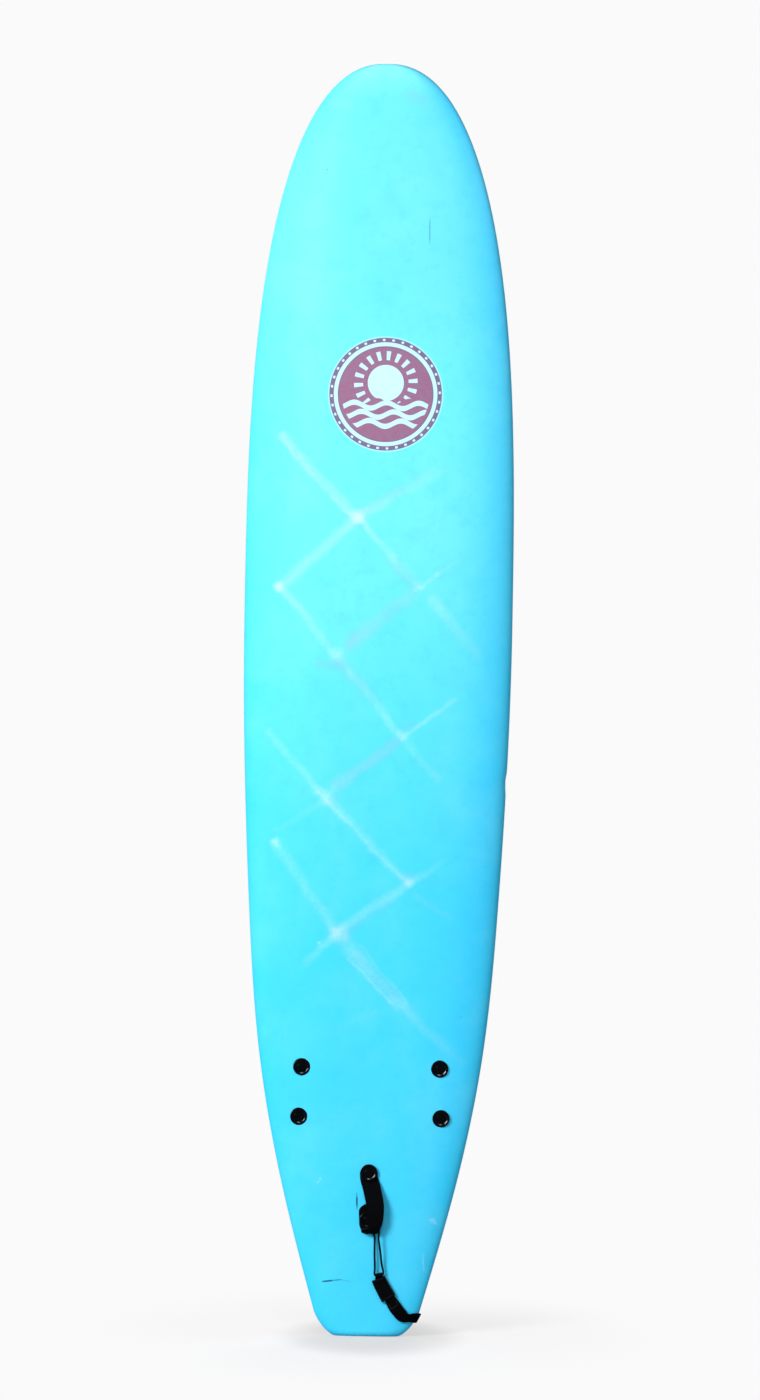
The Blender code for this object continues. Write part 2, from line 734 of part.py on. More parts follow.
def ribbon(name, route, widths, thicks, sides, material, spacing, across):
    """A flat band along a route. `sides` are the directions of its width, one for each route point."""
    knots = [list(point) + [w, t] + list(side) for point, w, t, side in zip(route, widths, thicks, sides)]
    rows = through(knots, spacing)
    points = [Vector(row[:3]) for row in rows]
    outer, inner = [], []
    for k, row in enumerate(rows):
        ahead = (points[min(k + 1, len(points) - 1)] - points[max(k - 1, 0)]).normalized()
        side = Vector(row[5:8])
        side = (side - ahead * side.dot(ahead)).normalized()
        normal = ahead.cross(side)
        for j in range(across + 1):
            place = points[k] + side * row[3] * (j / across - 0.5)
            outer.append(place + normal * row[4] / 2)
            inner.append(place - normal * row[4] / 2)
    return thick_patch(name, outer, inner, ring_faces(len(rows), across + 1, closed=False), material)


def cord(name, points, radius, resolution, material):
    """A round cord through the given points, with closed ends."""
    curve = bpy.data.curves.new(name, "CURVE")
    curve.dimensions = "3D"
    curve.bevel_depth = radius
    curve.bevel_resolution = resolution
    curve.use_fill_caps = True
    spline = curve.splines.new("POLY")
    spline.points.add(len(points) - 1)
    for place, point in zip(spline.points, points):
        place.co = (*point, 1.0)
    curve.materials.append(material)
    item = bpy.data.objects.new(name, curve)
    bpy.context.collection.objects.link(item)
    return item


def off_deck(x, height, z):
    """A point at a height over the deck."""
    return Vector((x, deck_y(x, z) - height, z))


STRAP_REST = 2 * GAP + WEBBING_THICK / 2
WRAP_ROOM = 4 * GAP
SAVER_BACK = GAP + WRAP_THICK + WRAP_ROOM + SAVER_THICK / 2
SAVER_FLAT = 3 * GAP + SAVER_THICK / 2
SAVER_STEP = SAVER_THICK + 2 * GAP
SAVER_FOLD = STRING_RADIUS + 3 * GAP + SAVER_THICK / 2
TUNNEL = SAVER_BACK + SAVER_FOLD

# Places over the deck: x, height over the deck and z, and for the strap how far it is spread out
STRAP_ROUTE = [
    (-0.0025, STRAP_REST, 0.2860, 1.0),
    (-0.0010, STRAP_REST, 0.2680, 1.0),
    (0.0000, STRAP_REST, 0.2480, 1.0),
    (0.0003, STRAP_REST, 0.2425, 0.98),
    (0.0010, STRAP_REST + 0.0006, 0.2365, 0.80),
    (0.0026, STRAP_REST + 0.0022, 0.2310, 0.45),
    (0.0055, 0.0066, 0.2268, 0.10),
    (0.0088, 0.0115, 0.2250, 0.0),
    (0.0118, 0.0172, 0.2290, 0.10),
    (0.0140, 0.0208, 0.2385, 0.40),
    (0.0152, 0.0222, 0.2500, 0.70),
    (0.0153, 0.0225, 0.2680, 0.92),
    (0.0143, 0.0200, 0.2880, 1.0),
    (0.0100, 0.0135, 0.3080, 1.0),
    (0.0055, 0.0065, 0.3260, 1.0),
    (0.0018, 0.0028, 0.3370, 1.0),
    (0.0004, STRAP_REST + 0.0002, 0.3440, 1.0),
    (0.0000, STRAP_REST, 0.3495, 1.0),
    (0.0000, STRAP_REST, 0.3680, 1.0),
]
STRING_ROUTE = [
    (0.0252, TUNNEL, 0.1307),
    (0.0220, TUNNEL, 0.1299),
    (0.0186, TUNNEL, 0.1297),
    (0.0165, TUNNEL + 0.0004, 0.1325),
    (0.0162, 0.0082, 0.1400),
    (0.0158, 0.0100, 0.1700),
    (0.0154, 0.0150, 0.2020),
    (0.0128, 0.0188, 0.2140),
    (0.0055, 0.0190, 0.2175),
    (-0.0045, 0.0165, 0.2210),
    (-0.0082, 0.0135, 0.2275),
    (-0.0035, 0.0112, 0.2330),
    (0.0080, 0.0108, 0.2336),
    (0.0205, 0.0110, 0.2336),
    (0.0262, 0.0122, 0.2312),
    (0.0272, 0.0152, 0.2250),
    (0.0240, 0.0182, 0.2165),
    (0.0216, 0.0170, 0.2040),
    (0.0262, 0.0120, 0.1760),
    (0.0325, 0.0084, 0.1480),
    (0.0347, TUNNEL + 0.0004, 0.1375),
    (0.0333, TUNNEL, 0.1334),
    (0.0300, TUNNEL, 0.1318),
    (0.0264, TUNNEL, 0.1310),
]

# The rail saver's middle line on the deck: x, z, tilt of its width, its width and its lift by the wrap.
# It starts at the fold round the string, then lies in the wrap, and goes on to the rail.
SAVER_START = [
    (0.0255, 0.1307, 0.22, 0.0095, 1.0),
    (0.0272, 0.1242, 0.32, 0.0150, 1.0),
]
SAVER_WRAPPED = [
    (0.0288, 0.1212, 0.40, 0.0184, 1.0),
    (0.0340, 0.1110, 0.46, 0.0198, 1.0),
    (0.0412, 0.0980, 0.50, 0.0212, 1.0),
    (0.0492, 0.0845, 0.53, 0.0226, 1.0),
]
SAVER_ON = [
    (0.0585, 0.0690, 0.60, 0.0275, 0.55),
    (0.0690, 0.0545, 0.80, 0.0275, 0.15),
    (0.0800, 0.0445, 1.15, 0.0250, 0.0),
    (0.0905, 0.0415, 1.45, 0.0170, 0.0),
]
# The same line round the rail: share of the way from the deck's middle over the rail to the bottom's middle
SAVER_ROUND = [
    (-0.36, 0.0415, 1.57, 0.0195, 0.0),
    (-0.22, 0.0415, 1.57, 0.0210, 0.0),
    (-0.08, 0.0415, 1.57, 0.0210, 0.0),
    (0.10, 0.0413, 1.57, 0.0210, 0.15),
    (0.28, 0.0410, 1.57, 0.0170, 0.55),
    (0.46, 0.0405, 1.57, 0.0074, 1.0),
    (0.60, 0.0400, 1.57, 0.0070, 1.0),
]
# Where the webbing starts to leave the board's bottom, and how fast it rises to the swivel
SAVER_LEAVES = 0.36
SAVER_RISE = 0.0115


def build_strap(screws, materials):
    route = [off_deck(x, height, z) for x, height, z, _ in STRAP_ROUTE]
    wide = [share for *_, share in STRAP_ROUTE]
    widths = [STRAP_PINCH + (WEBBING - STRAP_PINCH) * share for share in wide]
    thicks = [WEBBING_THICK * (1 + 0.6 * (1 - share)) for share in wide]
    widths[0] *= 0.72
    widths[-1] *= 0.72
    sides = [(1, 0, 0)] * len(route)
    strap = ribbon("leash_strap", route, widths, thicks, sides, materials["webbing"], STRAP_STEP, 3)
    for label, bolt in screws.items():
        deck = surface_height(bolt, 0.0, 0.0, deck_y)
        room = SHANK_RADIUS + FIT
        hole = [(0, deck - 0.01), (room, deck - 0.01), (room, deck + 0.01), (0, deck + 0.01)]
        combine(strap, turned(f"strap_hole_{label}", hole, bolt, materials["webbing"], 16), "DIFFERENCE")


def build_string(materials):
    points = along([off_deck(*place) for place in STRING_ROUTE], STRING_STEP)
    cord("leash_string", points, STRING_RADIUS, 2, materials["cord"])


def surface_place(share, z):
    """A point on the right half of the board; share is -1 mid-deck, 0 on the rail and 1 mid-bottom."""
    section = Section(z)
    if share < 0:
        return section.deck_point(math.pi / 2 * (1 + share))
    return section.under_point(math.pi / 2 * share, 1)


def surface_axes(share, z):
    """Unit directions on the surface: across the board over the rail, and along the board."""
    across = surface_place(share + 0.02, z) - surface_place(share - 0.02, z)
    up = surface_place(share, z + 0.004) - surface_place(share, z - 0.004)
    return across.normalized(), up.normalized()


def rail_place(share, z, height):
    across, up = surface_axes(share, z)
    return surface_place(share, z) + across.cross(up).normalized() * height


def rail_side(share, z, tilt):
    """The direction of a band's width, flat on the board and turned by tilt from across it."""
    across, up = surface_axes(share, z)
    return across * math.cos(tilt) + up * math.sin(tilt)


def deck_share(x, z):
    turn = math.asin(min(x / Section(z).half, 1.0) ** (DECK_POWER / 2))
    return turn / (math.pi / 2) - 1


def on_deck(rows):
    """The same rows with the share of the way over the board in place of x."""
    return [(deck_share(x, z), z, tilt, width, lift) for x, z, tilt, width, lift in rows]


def saver_rows():
    return on_deck(SAVER_START + SAVER_WRAPPED + SAVER_ON) + SAVER_ROUND


def saver_height(row):
    """Height of the webbing's inner layer over the board."""
    lift = row[4] * (SAVER_BACK - SAVER_FLAT)
    return SAVER_FLAT + lift + max(0.0, row[0] - SAVER_LEAVES) * SAVER_RISE


def build_rail_saver(materials):
    rows = saver_rows()
    places = [(row, saver_height(row)) for row in reversed(rows)]
    x, z, tilt, width, lift = SAVER_START[0]
    for k in range(1, 6):
        turn = math.pi * k / 6
        ahead = SAVER_FOLD * math.sin(turn)
        fold = (x - ahead * math.sin(tilt), z + ahead * math.cos(tilt), tilt, width, lift)
        places.append((on_deck([fold])[0], TUNNEL - SAVER_FOLD * math.cos(turn)))
    heights = [TUNNEL + SAVER_FOLD, SAVER_BACK + SAVER_STEP + GAP]
    heights += [saver_height(row) + SAVER_STEP for row in rows[2:]]
    places += list(zip(rows, heights))
    route = [rail_place(row[0], row[1], height) for row, height in places]
    sides = [rail_side(*row[:3]) for row, _ in places]
    widths = [row[3] for row, _ in places]
    thicks = [SAVER_THICK] * len(places)
    ribbon("rail_saver_webbing", route, widths, thicks, sides, materials["webbing"], SAVER_SPACING, 2)


def sleeve(name, stops, corners, wall, material):
    """A thin-walled sleeve along a line; `stops` are (point, across, up, half width, half height)."""
    rings = {0.0: [], wall: []}
    for thin, ring in rings.items():
        for point, across, up, half, tall in stops:
            ring += [point + across * a * (half - thin) + up * b * (tall - thin) for a, b in corners]
    size = len(corners)
    sides = ring_faces(len(stops), size)
    count = len(rings[0.0])
    faces = sides + [tuple(corner + count for corner in reversed(face)) for face in sides]
    for first in (0, count - size):
        for k in range(size):
            here, ahead = first + k, first + (k + 1) % size
            faces.append((here, ahead, ahead + count, here + count))
    return add_object(name, closed_mesh(name, rings[0.0] + rings[wall], faces), material)


SLEEVE_CORNERS = ((-1, -0.3), (-0.86, -1), (0.86, -1), (1, -0.3), (1, 0.3), (0.86, 1), (-0.86, 1), (-1, 0.3))


def build_wrap(materials):
    """The hook-and-loop sleeve round the upper part of the folded webbing."""
    middle = SAVER_BACK + SAVER_STEP / 2
    knots = []
    for k, (share, z, tilt, *_) in enumerate(on_deck(SAVER_WRAPPED)):
        across = rail_side(share, z, tilt)
        width = WRAP_TOP_WIDTH + (WRAP_WIDTH - WRAP_TOP_WIDTH) * k / (len(SAVER_WRAPPED) - 1)
        knots.append([*(rail_place(share, z, middle) - across * WRAP_SHIFT), *across, width])
    fine = through(knots, SAVER_SPACING)
    stops = []
    tall = SAVER_THICK + GAP + WRAP_ROOM + WRAP_THICK
    for k, row in enumerate(fine):
        ahead = (Vector(fine[min(k + 1, len(fine) - 1)][:3]) - Vector(fine[max(k - 1, 0)][:3])).normalized()
        across = Vector(row[3:6])
        across = (across - ahead * across.dot(ahead)).normalized()
        stops.append((Vector(row[:3]), across, ahead.cross(across), row[6] / 2, tall))
    sleeve("rail_saver_wrap", stops, SLEEVE_CORNERS, WRAP_THICK, materials["webbing"])


# Swivels: a housing that turns freely round the flanged end of a rotor, which holds the cord


def swivel_frame(start, axis):
    """Z along the swivel's axis, from the housing's closed end towards the cord."""
    return frame_of(start, (0, 0, 1), axis)


def build_swivel(name, frame, materials, mouth=None):
    cavity = SWIVEL_LENGTH - ROTOR_FLANGE - 0.0032
    soft = 0.0012
    shell = [(0, 0), (SWIVEL_RADIUS - soft, 0), (SWIVEL_RADIUS, soft), (SWIVEL_RADIUS, SWIVEL_LENGTH - soft)]
    shell += [(SWIVEL_RADIUS - soft, SWIVEL_LENGTH), (ROTOR_SHAFT + GAP, SWIVEL_LENGTH)]
    shell += [(ROTOR_SHAFT + GAP, SWIVEL_LENGTH - 0.003), (ROTOR_RADIUS + GAP, SWIVEL_LENGTH - 0.003)]
    shell += [(ROTOR_RADIUS + GAP, cavity), (0, cavity)]
    housing = turned(f"{name}_housing", shell, frame, materials["plastic"], 20)
    if mouth:
        corners = [(-mouth[0], -mouth[1]), (mouth[0], -mouth[1]), (mouth[0], mouth[1]), (-mouth[0], mouth[1])]
        rings = [[frame @ Vector((a, b, h)) for a, b in corners] for h in (-0.002, mouth[2])]
        combine(housing, loft(f"{name}_mouth_form", rings, materials["plastic"]), "DIFFERENCE")
    flange_top = SWIVEL_LENGTH - 0.003 - GAP
    horn = SWIVEL_LENGTH + GAP
    end = horn + HORN_LENGTH
    rotor = [(0, cavity + GAP), (ROTOR_RADIUS, cavity + GAP), (ROTOR_RADIUS, flange_top)]
    rotor += [(ROTOR_SHAFT, flange_top), (ROTOR_SHAFT, horn), (HORN_RADIUS, horn)]
    rotor += [(HORN_RADIUS, horn + 0.004), (CORD_RADIUS + 0.0008, end), (0, end)]
    local = [(radius, height - horn) for radius, height in rotor]
    turning = turned(f"{name}_rotor", local, Matrix.Identity(4), materials["plastic"], 20)
    turning.matrix_world = frame @ Matrix.Translation((0, 0, horn))
    return frame @ Vector((0, 0, end + GAP))


def coil_points():
    """Points of the put-away cord, with a straight run of one diameter at each end."""
    span = COIL_PITCH * COIL_LOOPS / COIL_LAYERS
    per_layer = COIL_LOOPS / COIL_LAYERS
    base = COIL_LIFT + CORD_RADIUS
    points = []
    for k in range(round(COIL_LOOPS * COIL_STEPS) + 1):
        loops = k / COIL_STEPS
        layer = min(int(loops / per_layer), COIL_LAYERS - 1)
        share = loops / per_layer - layer
        radius = COIL_RADIUS + span * (0.5 - share if layer % 2 == 0 else share - 0.5)
        level = 0.0
        for step in range(1, COIL_LAYERS):
            rise = min(max((loops - step * per_layer) * 2 + 0.5, 0.0), 1.0)
            level += rise * rise * (3 - 2 * rise)
        turn = COIL_START - 2 * math.pi * loops
        x, y = COIL_CENTRE_X + radius * math.cos(turn), COIL_CENTRE_Y + radius * math.sin(turn)
        points.append(Vector((x, y, base + level * COIL_PITCH)))
    first, last = COIL_START, COIL_START - 2 * math.pi * COIL_LOOPS
    run = 2 * CORD_RADIUS
    lead_in = points[0] - Vector((math.sin(first), -math.cos(first), 0.0)) * run
    lead_out = points[-1] + Vector((math.sin(last), -math.cos(last), 0.0)) * run
    return [lead_in] + points + [lead_out]


def least_gap(points, skip):
    """The least clear distance between turns of the coil, measured on its points."""
    places = np.array(points)
    later = range(len(places) - skip)
    best = min(float(np.linalg.norm(places[k + skip :] - places[k], axis=1).min()) for k in later)
    return best - 2 * CORD_RADIUS


def build_tie(materials):
    """The hook-and-loop tie that holds the coil together."""
    span = COIL_PITCH * COIL_LOOPS / COIL_LAYERS / 2
    near, far = COIL_RADIUS - span - CORD_RADIUS, COIL_RADIUS + span + CORD_RADIUS
    near = math.sqrt(near**2 - (TIE_WIDTH / 2) ** 2) - 2 * GAP
    far += 2 * GAP
    high = COIL_LIFT + 2 * CORD_RADIUS + (COIL_LAYERS - 1) * COIL_PITCH + 2 * GAP
    low = COIL_LIFT - GAP
    outward = Vector((math.cos(TIE_PLACE), math.sin(TIE_PLACE), 0.0))
    tangent = Vector((-outward.y, outward.x, 0.0))
    middle = Vector((COIL_CENTRE_X, COIL_CENTRE_Y, (high + low) / 2)) + outward * (near + far) / 2
    half, tall = (far - near) / 2 + TIE_THICK, (high - low) / 2 + TIE_THICK
    ends = [middle + tangent * TIE_WIDTH * side for side in (-0.5, 0.5)]
    stops = [(end, outward, Vector((0, 0, 1)), half, tall) for end in ends]
    corners = ((-1, -0.8), (-0.8, -1), (0.8, -1), (1, -0.8), (1, 0.8), (0.8, 1), (-0.8, 1), (-1, 0.8))
    sleeve("coil_tie", stops, corners, TIE_THICK, materials["webbing"])


def oval(turn, out, z):
    """A point over the cuff's outer face at an angle round it."""
    x = CUFF_CENTRE_X + (CUFF_RADIUS_X + out) * math.cos(turn)
    return Vector((x, CUFF_CENTRE_Y + (CUFF_RADIUS_Y + out) * math.sin(turn), z))


def cuff_ring(turn, inner, outer, low, high, soft):
    corners = [(inner, low + soft), (inner + soft / 2, low), (outer - soft / 2, low), (outer, low + soft)]
    corners += [(outer, high - soft), (outer - soft / 2, high)]
    corners += [(inner + soft / 2, high), (inner, high - soft)]
    return [oval(turn, out, z) for out, z in corners]


def build_cuff(materials):
    first, last = CUFF_JOIN + CUFF_SLIT / 2, CUFF_JOIN - CUFF_SLIT / 2 + 2 * math.pi
    turns = [first + (last - first) * k / 36 for k in range(37)]
    rings = [cuff_ring(turn, -CUFF_THICK, 0.0, 0.0, CUFF_WIDTH, 0.0016) for turn in turns]
    loft("cuff_band", rings, materials["webbing"])
    low = (CUFF_WIDTH - FLAP_WIDTH) / 2
    rings = []
    for k in range(13):
        turn = FLAP_ROOT + (FLAP_TIP - FLAP_ROOT) * k / 12
        rings.append(cuff_ring(turn, GAP, GAP + FLAP_THICK, low, CUFF_WIDTH - low, 0.0008))
    tip = rings[-1]
    away = (rings[-1][0] - rings[-2][0]).normalized()
    lean = (away + (oval(FLAP_TIP, 0.01, 0) - oval(FLAP_TIP, 0, 0)).normalized() * 0.25).normalized()
    rings.append([point + lean * PULL_TAB for point in tip])
    hinge = oval(FLAP_ROOT, GAP, CUFF_WIDTH / 2)
    flap = loft("cuff_flap", [[point - hinge for point in ring] for ring in rings], materials["webbing"])
    flap.location = hinge


def cuff_normal(turn):
    return Vector((math.cos(turn) / CUFF_RADIUS_X, math.sin(turn) / CUFF_RADIUS_Y, 0.0)).normalized()


def build_leash(materials):
    behind, end = [rail_place(row[0], row[1], saver_height(row) + SAVER_STEP / 2) for row in SAVER_ROUND[-2:]]
    axis = (end - behind).normalized()
    frame = swivel_frame(end + axis * (4 * GAP - MOUTH_DEPTH), axis)
    mouth = (SAVER_ROUND[-1][3] / 2 + 3 * GAP, SAVER_THICK + 5 * GAP, MOUTH_DEPTH)
    start = build_swivel("rail_swivel", frame, materials, mouth)
    coil = coil_points()
    print(f"least gap between the coil's turns: {least_gap(coil, COIL_STEPS // 2) * 1000:.2f} mm")
    cord("leash_coil", coil, CORD_RADIUS, 1, materials["cord"])
    build_tie(materials)
    build_cuff(materials)
    out = cuff_normal(CUFF_SWIVEL)
    seat = oval(CUFF_SWIVEL, 0.0, CUFF_WIDTH / 2) + out * (2 * GAP)
    finish = build_swivel("cuff_swivel", swivel_frame(seat, out), materials)
    entry, leave = coil[0], coil[-1]
    into = (coil[1] - coil[0]).normalized()
    away = (coil[-1] - coil[-2]).normalized()
    aim = frame.to_3x3() @ Vector((0, 0, 1))
    places = [Vector(place) for place in CORD_ROUTE]
    route = [start, start + aim * 2 * CORD_RADIUS, *places, entry - into * GAP]
    points = along(route, CORD_STEP, np.array(aim), np.array(into))
    cord("leash_cord", points, CORD_RADIUS, 2, materials["cord"])
    route = [leave + away * GAP] + [Vector(place) for place in LEAD_ROUTE] + [finish]
    points = along(route, CORD_STEP, np.array(away), -np.array(out))
    cord("cuff_lead", points, CORD_RADIUS, 2, materials["cord"])


def main():
    clean_scene()
    skin_colour = make_material("soft deck foam", (0.11, 0.82, 0.94), 0.55)
    slick_colour = make_material("slick bottom sheet", (0.90, 0.92, 0.93), 0.30)
    foam_colour = make_material("polystyrene foam", (0.93, 0.94, 0.92), 0.85)
    wood = make_material("stringer wood", (0.62, 0.44, 0.24), 0.60)
    materials = {
        "plastic": make_material("black moulded plastic", (0.012, 0.012, 0.013), 0.38),
        "fin": make_material("fin plastic", (0.015, 0.015, 0.016), 0.32),
        "sleeve": make_material("sleeve plastic", (0.75, 0.76, 0.76), 0.45),
        "webbing": make_material("black webbing", (0.010, 0.010, 0.011), 0.75),
        "cord": make_material("black cord", (0.012, 0.012, 0.012), 0.35),
    }
    skin = build_deck_skin(skin_colour)
    slick = build_bottom_slick(slick_colour)
    centre = build_core_centre(foam_colour)
    left = build_core_side("core_left", -1, foam_colour)
    right = build_core_side("core_right", 1, foam_colour)
    build_stringer("stringer_left", -1, wood)
    build_stringer("stringer_right", 1, wood)
    side_front, side_rear = (SIDE_BOLT_FRONT_X, SIDE_BOLT_FRONT_Z), (SIDE_BOLT_REAR_X, SIDE_BOLT_REAR_Z)
    sets = [
        ("left", (-side_front[0], side_front[1]), (-side_rear[0], side_rear[1]), FIN_CANT, 1.0, left),
        ("right", side_front, side_rear, -FIN_CANT, 1.0, right),
        ("centre", (0.0, CENTRE_BOLT_FRONT_Z), (0.0, CENTRE_BOLT_REAR_Z), 0.0, CENTRE_FIN_SCALE, centre),
    ]
    centre_bolts = {}
    for label, front, rear, cant, scale, core in sets:
        build_fin(f"fin_{label}", front, rear, cant, scale, materials["fin"])
        frame = fin_frame(front, rear)
        spacing = math.hypot(front[0] - rear[0], front[1] - rear[1])
        for end, place in (("front", spacing / 2), ("rear", -spacing / 2)):
            bolt = frame @ Matrix.Translation((place, 0, 0))
            room = build_bolt(f"{label}_{end}", bolt, label == "centre", (skin, core), materials)
            combine(slick, room, "DIFFERENCE")
            if label == "centre":
                centre_bolts[end] = bolt
    build_strap(centre_bolts, materials)
    build_string(materials)
    build_rail_saver(materials)
    build_wrap(materials)
    build_leash(materials)


main()
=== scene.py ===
"""The look of a nine foot soft-top surfboard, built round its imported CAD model.

The board stands on its tail: +Z runs from the tail up to the nose, the deck faces -Y and +X is to the right
of someone who looks at the deck. All sizes are in metres. Each operator builds one piece or one group.
"""

import json
import math

import bmesh
import bpy
import numpy as np
from bpy.props import FloatProperty, FloatVectorProperty, IntProperty, PointerProperty
from mathutils import Matrix, Vector

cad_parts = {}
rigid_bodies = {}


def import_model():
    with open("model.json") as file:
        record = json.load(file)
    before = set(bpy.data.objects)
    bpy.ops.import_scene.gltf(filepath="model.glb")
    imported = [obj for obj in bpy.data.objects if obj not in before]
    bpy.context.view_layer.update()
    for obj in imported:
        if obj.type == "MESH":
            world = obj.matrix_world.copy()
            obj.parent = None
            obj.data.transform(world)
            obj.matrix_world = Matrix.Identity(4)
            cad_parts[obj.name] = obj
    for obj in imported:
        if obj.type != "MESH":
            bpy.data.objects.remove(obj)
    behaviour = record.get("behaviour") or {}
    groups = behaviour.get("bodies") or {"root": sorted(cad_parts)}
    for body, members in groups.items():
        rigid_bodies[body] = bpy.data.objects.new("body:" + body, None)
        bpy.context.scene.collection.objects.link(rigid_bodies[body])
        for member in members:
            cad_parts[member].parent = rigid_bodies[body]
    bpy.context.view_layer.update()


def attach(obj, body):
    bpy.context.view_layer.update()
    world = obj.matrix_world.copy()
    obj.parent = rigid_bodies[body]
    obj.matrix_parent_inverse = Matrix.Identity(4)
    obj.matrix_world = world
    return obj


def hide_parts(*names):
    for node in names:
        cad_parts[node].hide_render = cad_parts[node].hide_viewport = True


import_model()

bl_info = {
    "name": "Soft-top surfboard",
    "version": (1, 0, 0),
    "blender": (4, 5, 0),
    "location": "View3D > Sidebar > Surfboard",
    "description": "Builds the surfboard's skin, fins, screws, leash and studio round the packed model",
    "category": "Add Mesh",
}


# Settings


class BoardSettings(bpy.types.PropertyGroup):
    rows: IntProperty(name="Rows", description="Cross-sections along the board's middle part", default=150)
    columns: IntProperty(name="Columns", description="Steps from the deck's middle to a rail", default=40)
    dent: FloatProperty(
        name="Dent", description="Depth of the dent in the right rail", default=0.003, unit="LENGTH"
    )


class DeckSettings(bpy.types.PropertyGroup):
    nose: FloatVectorProperty(
        name="Nose", description="Deck colour at the nose", default=(0.56, 1.0, 1.0), subtype="COLOR_GAMMA"
    )
    middle: FloatVectorProperty(
        name="Middle", description="Deck colour half-way", default=(0.45, 0.955, 1.0), subtype="COLOR_GAMMA"
    )
    tail: FloatVectorProperty(
        name="Tail", description="Deck colour at the tail", default=(0.265, 0.885, 1.0), subtype="COLOR_GAMMA"
    )
    emblem_radius: FloatProperty(
        name="Emblem radius", description="Outer radius of the printed disc", default=0.1215, unit="LENGTH"
    )
    emblem_side: FloatProperty(
        name="Emblem side", description="Its centre to the right of the middle", default=0.0070, unit="LENGTH"
    )
    emblem_height: FloatProperty(
        name="Emblem height", description="Its centre over the tail", default=2.034, unit="LENGTH"
    )


class LeashSettings(bpy.types.PropertyGroup):
    cord_sides: IntProperty(name="Cord sides", description="Sides of the leash cord's tube", default=16)
    spacing: FloatProperty(
        name="Spacing", description="Distance between rows of a strap's mesh", default=0.0016, unit="LENGTH"
    )


class StudioSettings(bpy.types.PropertyGroup):
    distance: FloatProperty(name="Distance", description="Camera to board", default=12.0, unit="LENGTH")
    height: FloatProperty(name="Height", description="Camera over the floor", default=1.3745, unit="LENGTH")
    offset: FloatProperty(
        name="Offset", description="Camera to the right of the board", default=0.0063, unit="LENGTH"
    )
    roll: FloatProperty(
        name="Roll", description="The board's lean in the view", default=math.radians(0.994), subtype="ANGLE"
    )
    view: FloatProperty(
        name="View", description="Height that the picture covers at the board", default=3.0255, unit="LENGTH"
    )


SETTINGS = {
    "surf_board": BoardSettings,
    "surf_deck": DeckSettings,
    "surf_leash": LeashSettings,
    "surf_studio": StudioSettings,
}


# Materials: a wire is a socket or a number that can be used in sums, and a look is a material being made


class Wire:
    def __init__(self, tree, value):
        self.tree = tree
        self.value = value

    def sum(self, operation, *others, clamp=False):
        return self.tree.node("ShaderNodeMath", [self, *others], operation=operation, use_clamp=clamp)

    def __add__(self, other):
        return self.sum("ADD", other)

    def __radd__(self, other):
        return self.tree.wire(other).sum("ADD", self)

    def __sub__(self, other):
        return self.sum("SUBTRACT", other)

    def __rsub__(self, other):
        return self.tree.wire(other).sum("SUBTRACT", self)

    def __mul__(self, other):
        return self.sum("MULTIPLY", other)

    def __rmul__(self, other):
        return self.tree.wire(other).sum("MULTIPLY", self)

    def __truediv__(self, other):
        return self.sum("DIVIDE", other)

    def __rtruediv__(self, other):
        return self.tree.wire(other).sum("DIVIDE", self)

    def __pow__(self, other):
        return self.sum("POWER", other)

    def __neg__(self):
        return self.sum("MULTIPLY", -1.0)

    def __abs__(self):
        return self.sum("ABSOLUTE")

    def sine(self):
        return self.sum("SINE")

    def root(self):
        return self.sum("SQRT")

    def least(self, other):
        return self.sum("MINIMUM", other)

    def most(self, other):
        return self.sum("MAXIMUM", other)

    def fade(self, start, end):
        """A smooth step that is 0 at start and 1 at end; start may be the higher one."""
        low, high, first, last = (start, end, 0.0, 1.0) if start < end else (end, start, 1.0, 0.0)
        values = {"Value": self, "From Min": low, "From Max": high, "To Min": first, "To Max": last}
        return self.tree.node("ShaderNodeMapRange", values, interpolation_type="SMOOTHSTEP")

    def wave(self, pitch):
        return (self * (math.tau / pitch)).sine()


class Tree:
    """A node tree in the making: each node of a material, the world or a geometry is made by `node`."""

    def __init__(self, nodes):
        self.nodes = nodes

    def wire(self, value):
        return value if isinstance(value, Wire) else Wire(self, value)

    def feed(self, socket, value):
        value = value.value if isinstance(value, Wire) else value
        if isinstance(value, bpy.types.NodeSocket):
            self.nodes.links.new(value, socket)
        elif socket.type == "RGBA" and len(value) == 3:
            socket.default_value = (*value, 1.0)
        else:
            socket.default_value = value

    def node(self, kind, inputs=(), output=0, **settings):
        """Makes a node, feeds its inputs, by name or in order, and gives one output as a wire."""
        made = self.nodes.nodes.new(kind)
        for name, value in settings.items():
            setattr(made, name, value)
        pairs = inputs.items() if isinstance(inputs, dict) else enumerate(inputs)
        for key, value in pairs:
            self.feed(made.inputs[key], value)
        return Wire(self, made.outputs[output]) if made.outputs else None

    def vector(self, operation, *inputs, output="Vector"):
        return self.node("ShaderNodeVectorMath", inputs, output=output, operation=operation)

    def mix(self, share, first, second):
        """A colour between two, and the second one where share is 1."""
        return self.node("ShaderNodeMix", {0: share, 6: first, 7: second}, output=2, data_type="RGBA")

    def ray(self, kind):
        """1 for the rays of one kind, such as those from the camera, and 0 for others."""
        return self.node("ShaderNodeLightPath", output=f"Is {kind} Ray")


